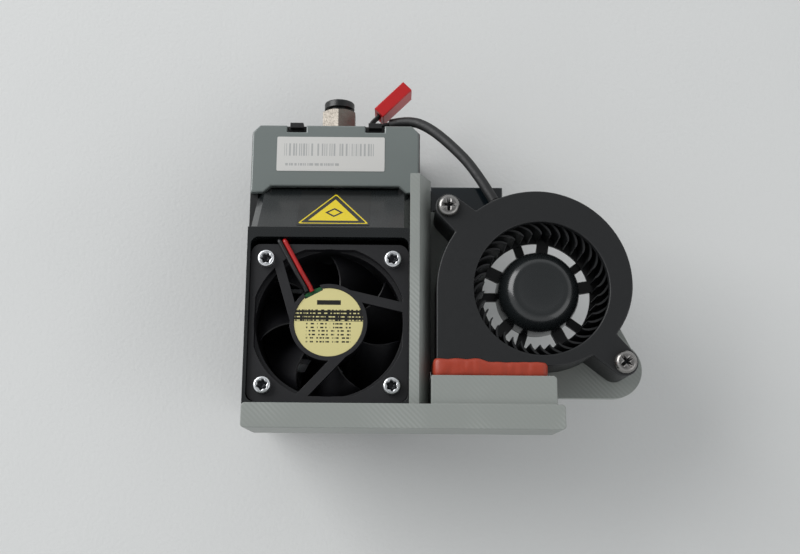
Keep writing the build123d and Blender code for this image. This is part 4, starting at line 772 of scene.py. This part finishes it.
# %% [markdown]
# ## The impeller
# A smooth domed hub stands in a ring of 38 thin, forward-curved blades. The dome is a lathe
# profile with a flat, slightly sunken top and steep sides, and one bent blade is copied round a
# circle. Two thin rings carry the blades and five arms join them to the hub. All of them
# ride on the blower's rotor, so that they turn with it.

# %% Impeller
blower_axis = Vector(mm(53.0, 8.3, 0.0))
blade_root = 14.1
blade_count = 38


def thick_sheet(name, surface, across, along_it, thickness):
    """A closed thin solid: surface(u, v) for u and v from 0 to 1 gives its middle."""
    small = 0.001
    layers = ([], [])
    for i in range(across + 1):
        for j in range(along_it + 1):
            u, v = i / across, j / along_it
            here = surface(u, v)
            step_u = surface(u + small, v) - here
            step_v = surface(u, v + small) - here
            push = step_u.cross(step_v).normalized() * (thickness(u, v) / 2)
            layers[0].append(here + push)
            layers[1].append(here - push)
    count = len(layers[0])
    row = along_it + 1
    faces = []
    for i in range(across):
        for j in range(along_it):
            a = i * row + j
            faces.append((a, a + row, a + row + 1, a + 1))
            faces.append((a + count, a + 1 + count, a + row + 1 + count, a + row + count))
    rim = list(range(row)) + [i * row + along_it for i in range(1, across + 1)]
    rim += [across * row + j for j in range(along_it - 1, -1, -1)]
    rim += [i * row for i in range(across - 1, 0, -1)]
    for k, a in enumerate(rim):
        b = rim[(k + 1) % len(rim)]
        faces.append((a, b, b + count, a + count))
    return loose_object(name, [tuple(p) for p in layers[0] + layers[1]], faces)


def impeller_surface(u, v):
    """An upright blade that bends forwards towards the rim."""
    radius = mm(blade_root + 3.25 * u)
    turn = math.radians(13.0) * (u ** 1.6 - 0.5)
    return Vector((radius * math.cos(turn) - mm(blade_root), radius * math.sin(turn), mm(37.0 + 10.0 * v)))


blade = thick_sheet("one_blade", impeller_surface, 7, 1, lambda u, v: mm(0.55 - 0.25 * abs(2 * u - 1)))
tree, sockets = copies_tree("blades_on_a_circle", "GeometryNodeMeshCircle", {"Radius": mm(blade_root)})
blades = place_copies("impeller_blades", blade, tree, sockets, blade_count, 2 * math.pi / blade_count,
                      blower_axis, 0.0, "blower_rotor", "blower_pbt", ["blower_impeller"])
blades.data.set_sharp_from_angle(angle=math.radians(40.0))


def lathe(name, profile_mm, middle, steps, body, finish):
    """A closed profile of (radius, z) in millimetres, turned about an upright axis."""
    profile = [mm(*point) for point in profile_mm]
    vertices, faces = [], []
    for k in range(steps):
        turn = 2 * math.pi * k / steps
        vertices += [(radius * math.cos(turn), radius * math.sin(turn), z) for radius, z in profile]
    count = len(profile)
    for k in range(steps):
        after = (k + 1) % steps
        for j in range(count - 1):
            faces.append((k * count + j, after * count + j, after * count + j + 1, k * count + j + 1))
    loose = loose_object(name + "_loose", vertices, faces)
    shape = bmesh.new()
    shape.from_mesh(loose.data)
    bmesh.ops.remove_doubles(shape, verts=shape.verts, dist=weld)
    bmesh.ops.recalc_face_normals(shape, faces=shape.faces)
    mesh = bpy.data.meshes.new(name)
    shape.to_mesh(mesh)
    shape.free()
    bpy.data.objects.remove(loose)
    mesh.transform(Matrix.Translation(middle))
    mesh.shade_smooth()
    mesh.set_sharp_from_angle(angle=math.radians(50.0))
    piece = new_piece(name, mesh, body)
    own_slots[piece] = finish
    return piece


shoulder_start = 6.5      # where the hub's flat top turns down
sunken_top = 46.95
hub_profile = [(0.0, sunken_top)]
hub_profile += [(shoulder_start * k / 6, sunken_top + 0.5 * (k / 6) ** 3) for k in range(1, 7)]
for degrees in range(8, 89, 8):
    bend = math.radians(degrees)
    hub_profile.append((shoulder_start + 3.9 * math.sin(bend) ** 1.25, 41.6 + 5.85 * math.cos(bend) ** 1.1))
hub_profile += [(10.5, 41.2), (10.6, 37.1), (9.3, 37.1), (9.3, 44.0), (0.0, 44.0)]
hub = lathe("impeller_hub", hub_profile, blower_axis, 72, "blower_rotor", "hub_pbt")
for name, inner_radius, outer_radius, low, high in (("impeller_ring", 13.9, 17.35, 36.6, 37.5),
                                                    ("impeller_tip_ring", 16.95, 17.38, 46.3, 47.05)):
    lathe(name, [(inner_radius, low), (outer_radius, low), (outer_radius, high), (inner_radius, high),
                 (inner_radius, low)], blower_axis, 96, "blower_rotor", "blower_pbt")
arm = thick_sheet("one_arm", lambda u, v: Vector(mm(5.2 * u - 0.6, 3.0 * v - 1.5, 37.8)), 1, 1,
                  lambda u, v: mm(1.6))
arm_count = 5
tree, sockets = copies_tree("arms_on_a_circle", "GeometryNodeMeshCircle", {"Radius": mm(9.9)})
arms = place_copies("impeller_arms", arm, tree, sockets, arm_count, 2 * math.pi / arm_count, blower_axis,
                    math.radians(10.0), "blower_rotor", "blower_pbt")
arms.data.set_sharp_from_angle(angle=math.radians(40.0))
print("impeller blades", len(blades.data.polygons), "hub", len(hub.data.polygons))

# %% [markdown]
# ## The fan's rotor
# Seven blades stand on the rotor's cup. Each is a curved sheet that falls back clockwise from its front
# edge through 46 degrees, so that from the front the seven nearly close the ring. The front edge is
# thin and swept, and the tip's corner is rounded, as on most moulded fans.


# %% Fan rotor
cup_radius = 9.2


def fan_surface(u, v):
    """A blade's middle surface: u from cup to tip, v from the front edge to the back."""
    radius = mm(cup_radius + 8.9 * u)
    turn = math.radians(15.0) * u ** 1.5 * (1.0 - 0.5 * v) - math.radians(46.0) * v
    corner = max(0.0, (u - 0.82) / 0.18) ** 2
    z = mm(40.4 - 1.6 * corner - (13.0 - 2.4 * corner) * v)
    return Vector((radius * math.cos(turn) - mm(cup_radius), radius * math.sin(turn), z))


fan_blade = thick_sheet("one_fan_blade", fan_surface, 10, 14,
                        lambda u, v: mm(0.35 + 0.75 * (1.0 - (2.0 * v - 1.0) ** 2)))
fan_blade_count = 7
fan_axis = Vector((0.0, 0.0, 0.0))
tree, sockets = copies_tree("fan_blades_on_a_circle", "GeometryNodeMeshCircle", {"Radius": mm(cup_radius)})
fan_blades = place_copies("fan_blades", fan_blade, tree, sockets, fan_blade_count,
                          2 * math.pi / fan_blade_count, fan_axis, math.radians(24.0), "fan_rotor",
                          "fan_pbt", ["fan_rotor"])
fan_blades.data.set_sharp_from_angle(angle=math.radians(40.0))
cup_profile = [(0.0, 26.1), (8.9, 26.1), (9.4, 26.7), (9.4, 40.9), (8.25, 40.9), (8.25, 27.3), (0.0, 27.3)]
cup = lathe("fan_cup", cup_profile, fan_axis, 72, "fan_rotor", "fan_pbt")
print("fan blades", len(fan_blades.data.polygons), "cup", len(cup.data.polygons))

# %% [markdown]
# ## The stretched tape
# Soft self-fusing tape seals the blower's outlet into the duct. It is stretched round by hand, so it is
# thicker where it laps itself, its free edge wanders, and it shows small creases across. It could
# be sculpted; here a closed band is swept round the outlet and every ring is pushed by noise.

# %% Tape round the outlet
tape_low, tape_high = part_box("outlet_tape")
tape_thickness = mm(0.7)
outlet_half_x = (tape_high.x - tape_low.x) / 2 - tape_thickness
outlet_half_z = (tape_high.z - tape_low.z) / 2 - tape_thickness
tape_middle = Vector(((tape_low.x + tape_high.x) / 2, 0.0, (tape_low.z + tape_high.z) / 2))
corner = mm(0.9)
loop_steps = 220
wrap = []
side_x, side_z = outlet_half_x - corner, outlet_half_z - corner
lengths = (2 * side_x, math.pi / 2 * corner, 2 * side_z, math.pi / 2 * corner)
whole = 2 * sum(lengths)
for step in range(loop_steps):
    travelled = whole * step / loop_steps
    half_turn = travelled > whole / 2
    travelled -= whole / 2 * half_turn
    if travelled < lengths[0]:
        place, out = (side_x - travelled, side_z + corner), (0.0, 1.0)
    elif travelled < lengths[0] + lengths[1]:
        turn = math.pi / 2 + (travelled - lengths[0]) / corner
        out = (math.cos(turn), math.sin(turn))
        place = (-side_x + corner * out[0], side_z + corner * out[1])
    elif travelled < lengths[0] + lengths[1] + lengths[2]:
        place, out = (-side_x - corner, side_z - (travelled - lengths[0] - lengths[1])), (-1.0, 0.0)
    else:
        turn = math.pi + (travelled - lengths[0] - lengths[1] - lengths[2]) / corner
        out = (math.cos(turn), math.sin(turn))
        place = (-side_x + corner * out[0], -side_z + corner * out[1])
    sign = -1 if half_turn else 1
    wrap.append((sign * place[0], sign * place[1], sign * out[0], sign * out[1]))

section = [(0.0, 0.0), (0.0, 0.55), (0.06, 0.8), (0.2, 0.95), (0.36, 1.0), (0.52, 1.0), (0.68, 0.97),
           (0.82, 0.9), (0.93, 0.72), (1.0, 0.4), (1.0, 0.0)]
vertices, faces = [], []
for x, z, out_x, out_z in wrap:
    lap = 1.0 - 1.0 / (1.0 + math.exp(-(x + mm(1.5)) / mm(0.5)))
    spot = Vector((x, z, 0.0)) / mm(2.4)
    edge = mm(3.45 + 0.75 * lap + 0.22 * noise.noise(spot))
    crease = max(0.0, noise.noise(Vector((x / mm(0.8), z / mm(0.8), 4.0)))) ** 2
    for share, lift in section:
        ripple = noise.noise(Vector((x / mm(1.6), z / mm(1.6), share * 1.6)))
        thick = mm(0.62 + 0.28 * lap + 0.16 * ripple - 0.28 * crease) * lift
        vertices.append((tape_middle.x + x + out_x * thick, tape_low.y + edge * share,
                         tape_middle.z + z + out_z * thick))
rows = len(section)
for step in range(loop_steps):
    after = (step + 1) % loop_steps
    for row in range(rows):
        above = (row + 1) % rows
        faces.append((step * rows + row, after * rows + row, after * rows + above, step * rows + above))
loose = loose_object("tape_loose", vertices, faces)
tape_mesh = loose.data.copy()
bpy.data.objects.remove(loose)
tape_mesh.shade_smooth()
tape = new_piece("stretched_tape", tape_mesh, "module", ["outlet_tape"])
own_slots[tape] = "orange_tape"
print("tape faces", len(tape_mesh.polygons))

# %% [markdown]
# ## The cable's finishes
# The sleeved cable takes the braid's finish and its two leads the black insulation.

own_slots[cable] = "cable_sleeve"
own_slots[leads] = "black_lead"

# %% [markdown]
# ## Finish on every remaining solid
# A solid whose shape is already right keeps its mesh and only takes the finish of its slot. The
# pieces made above take the finish that they were given when they were made.

# %% Assign finishes
slot_of = {entry["node"]: entry["material_slot"] for entry in frame["record"]["subparts"]}
for name, solid in nodes.items():
    solid.data.materials.clear()
    solid.data.materials.append(finishes[slot_of[name]])
for piece, slot in own_slots.items():
    piece.data.materials.clear()
    piece.data.materials.append(finishes[slot])
print("solids with a finish", len(nodes))
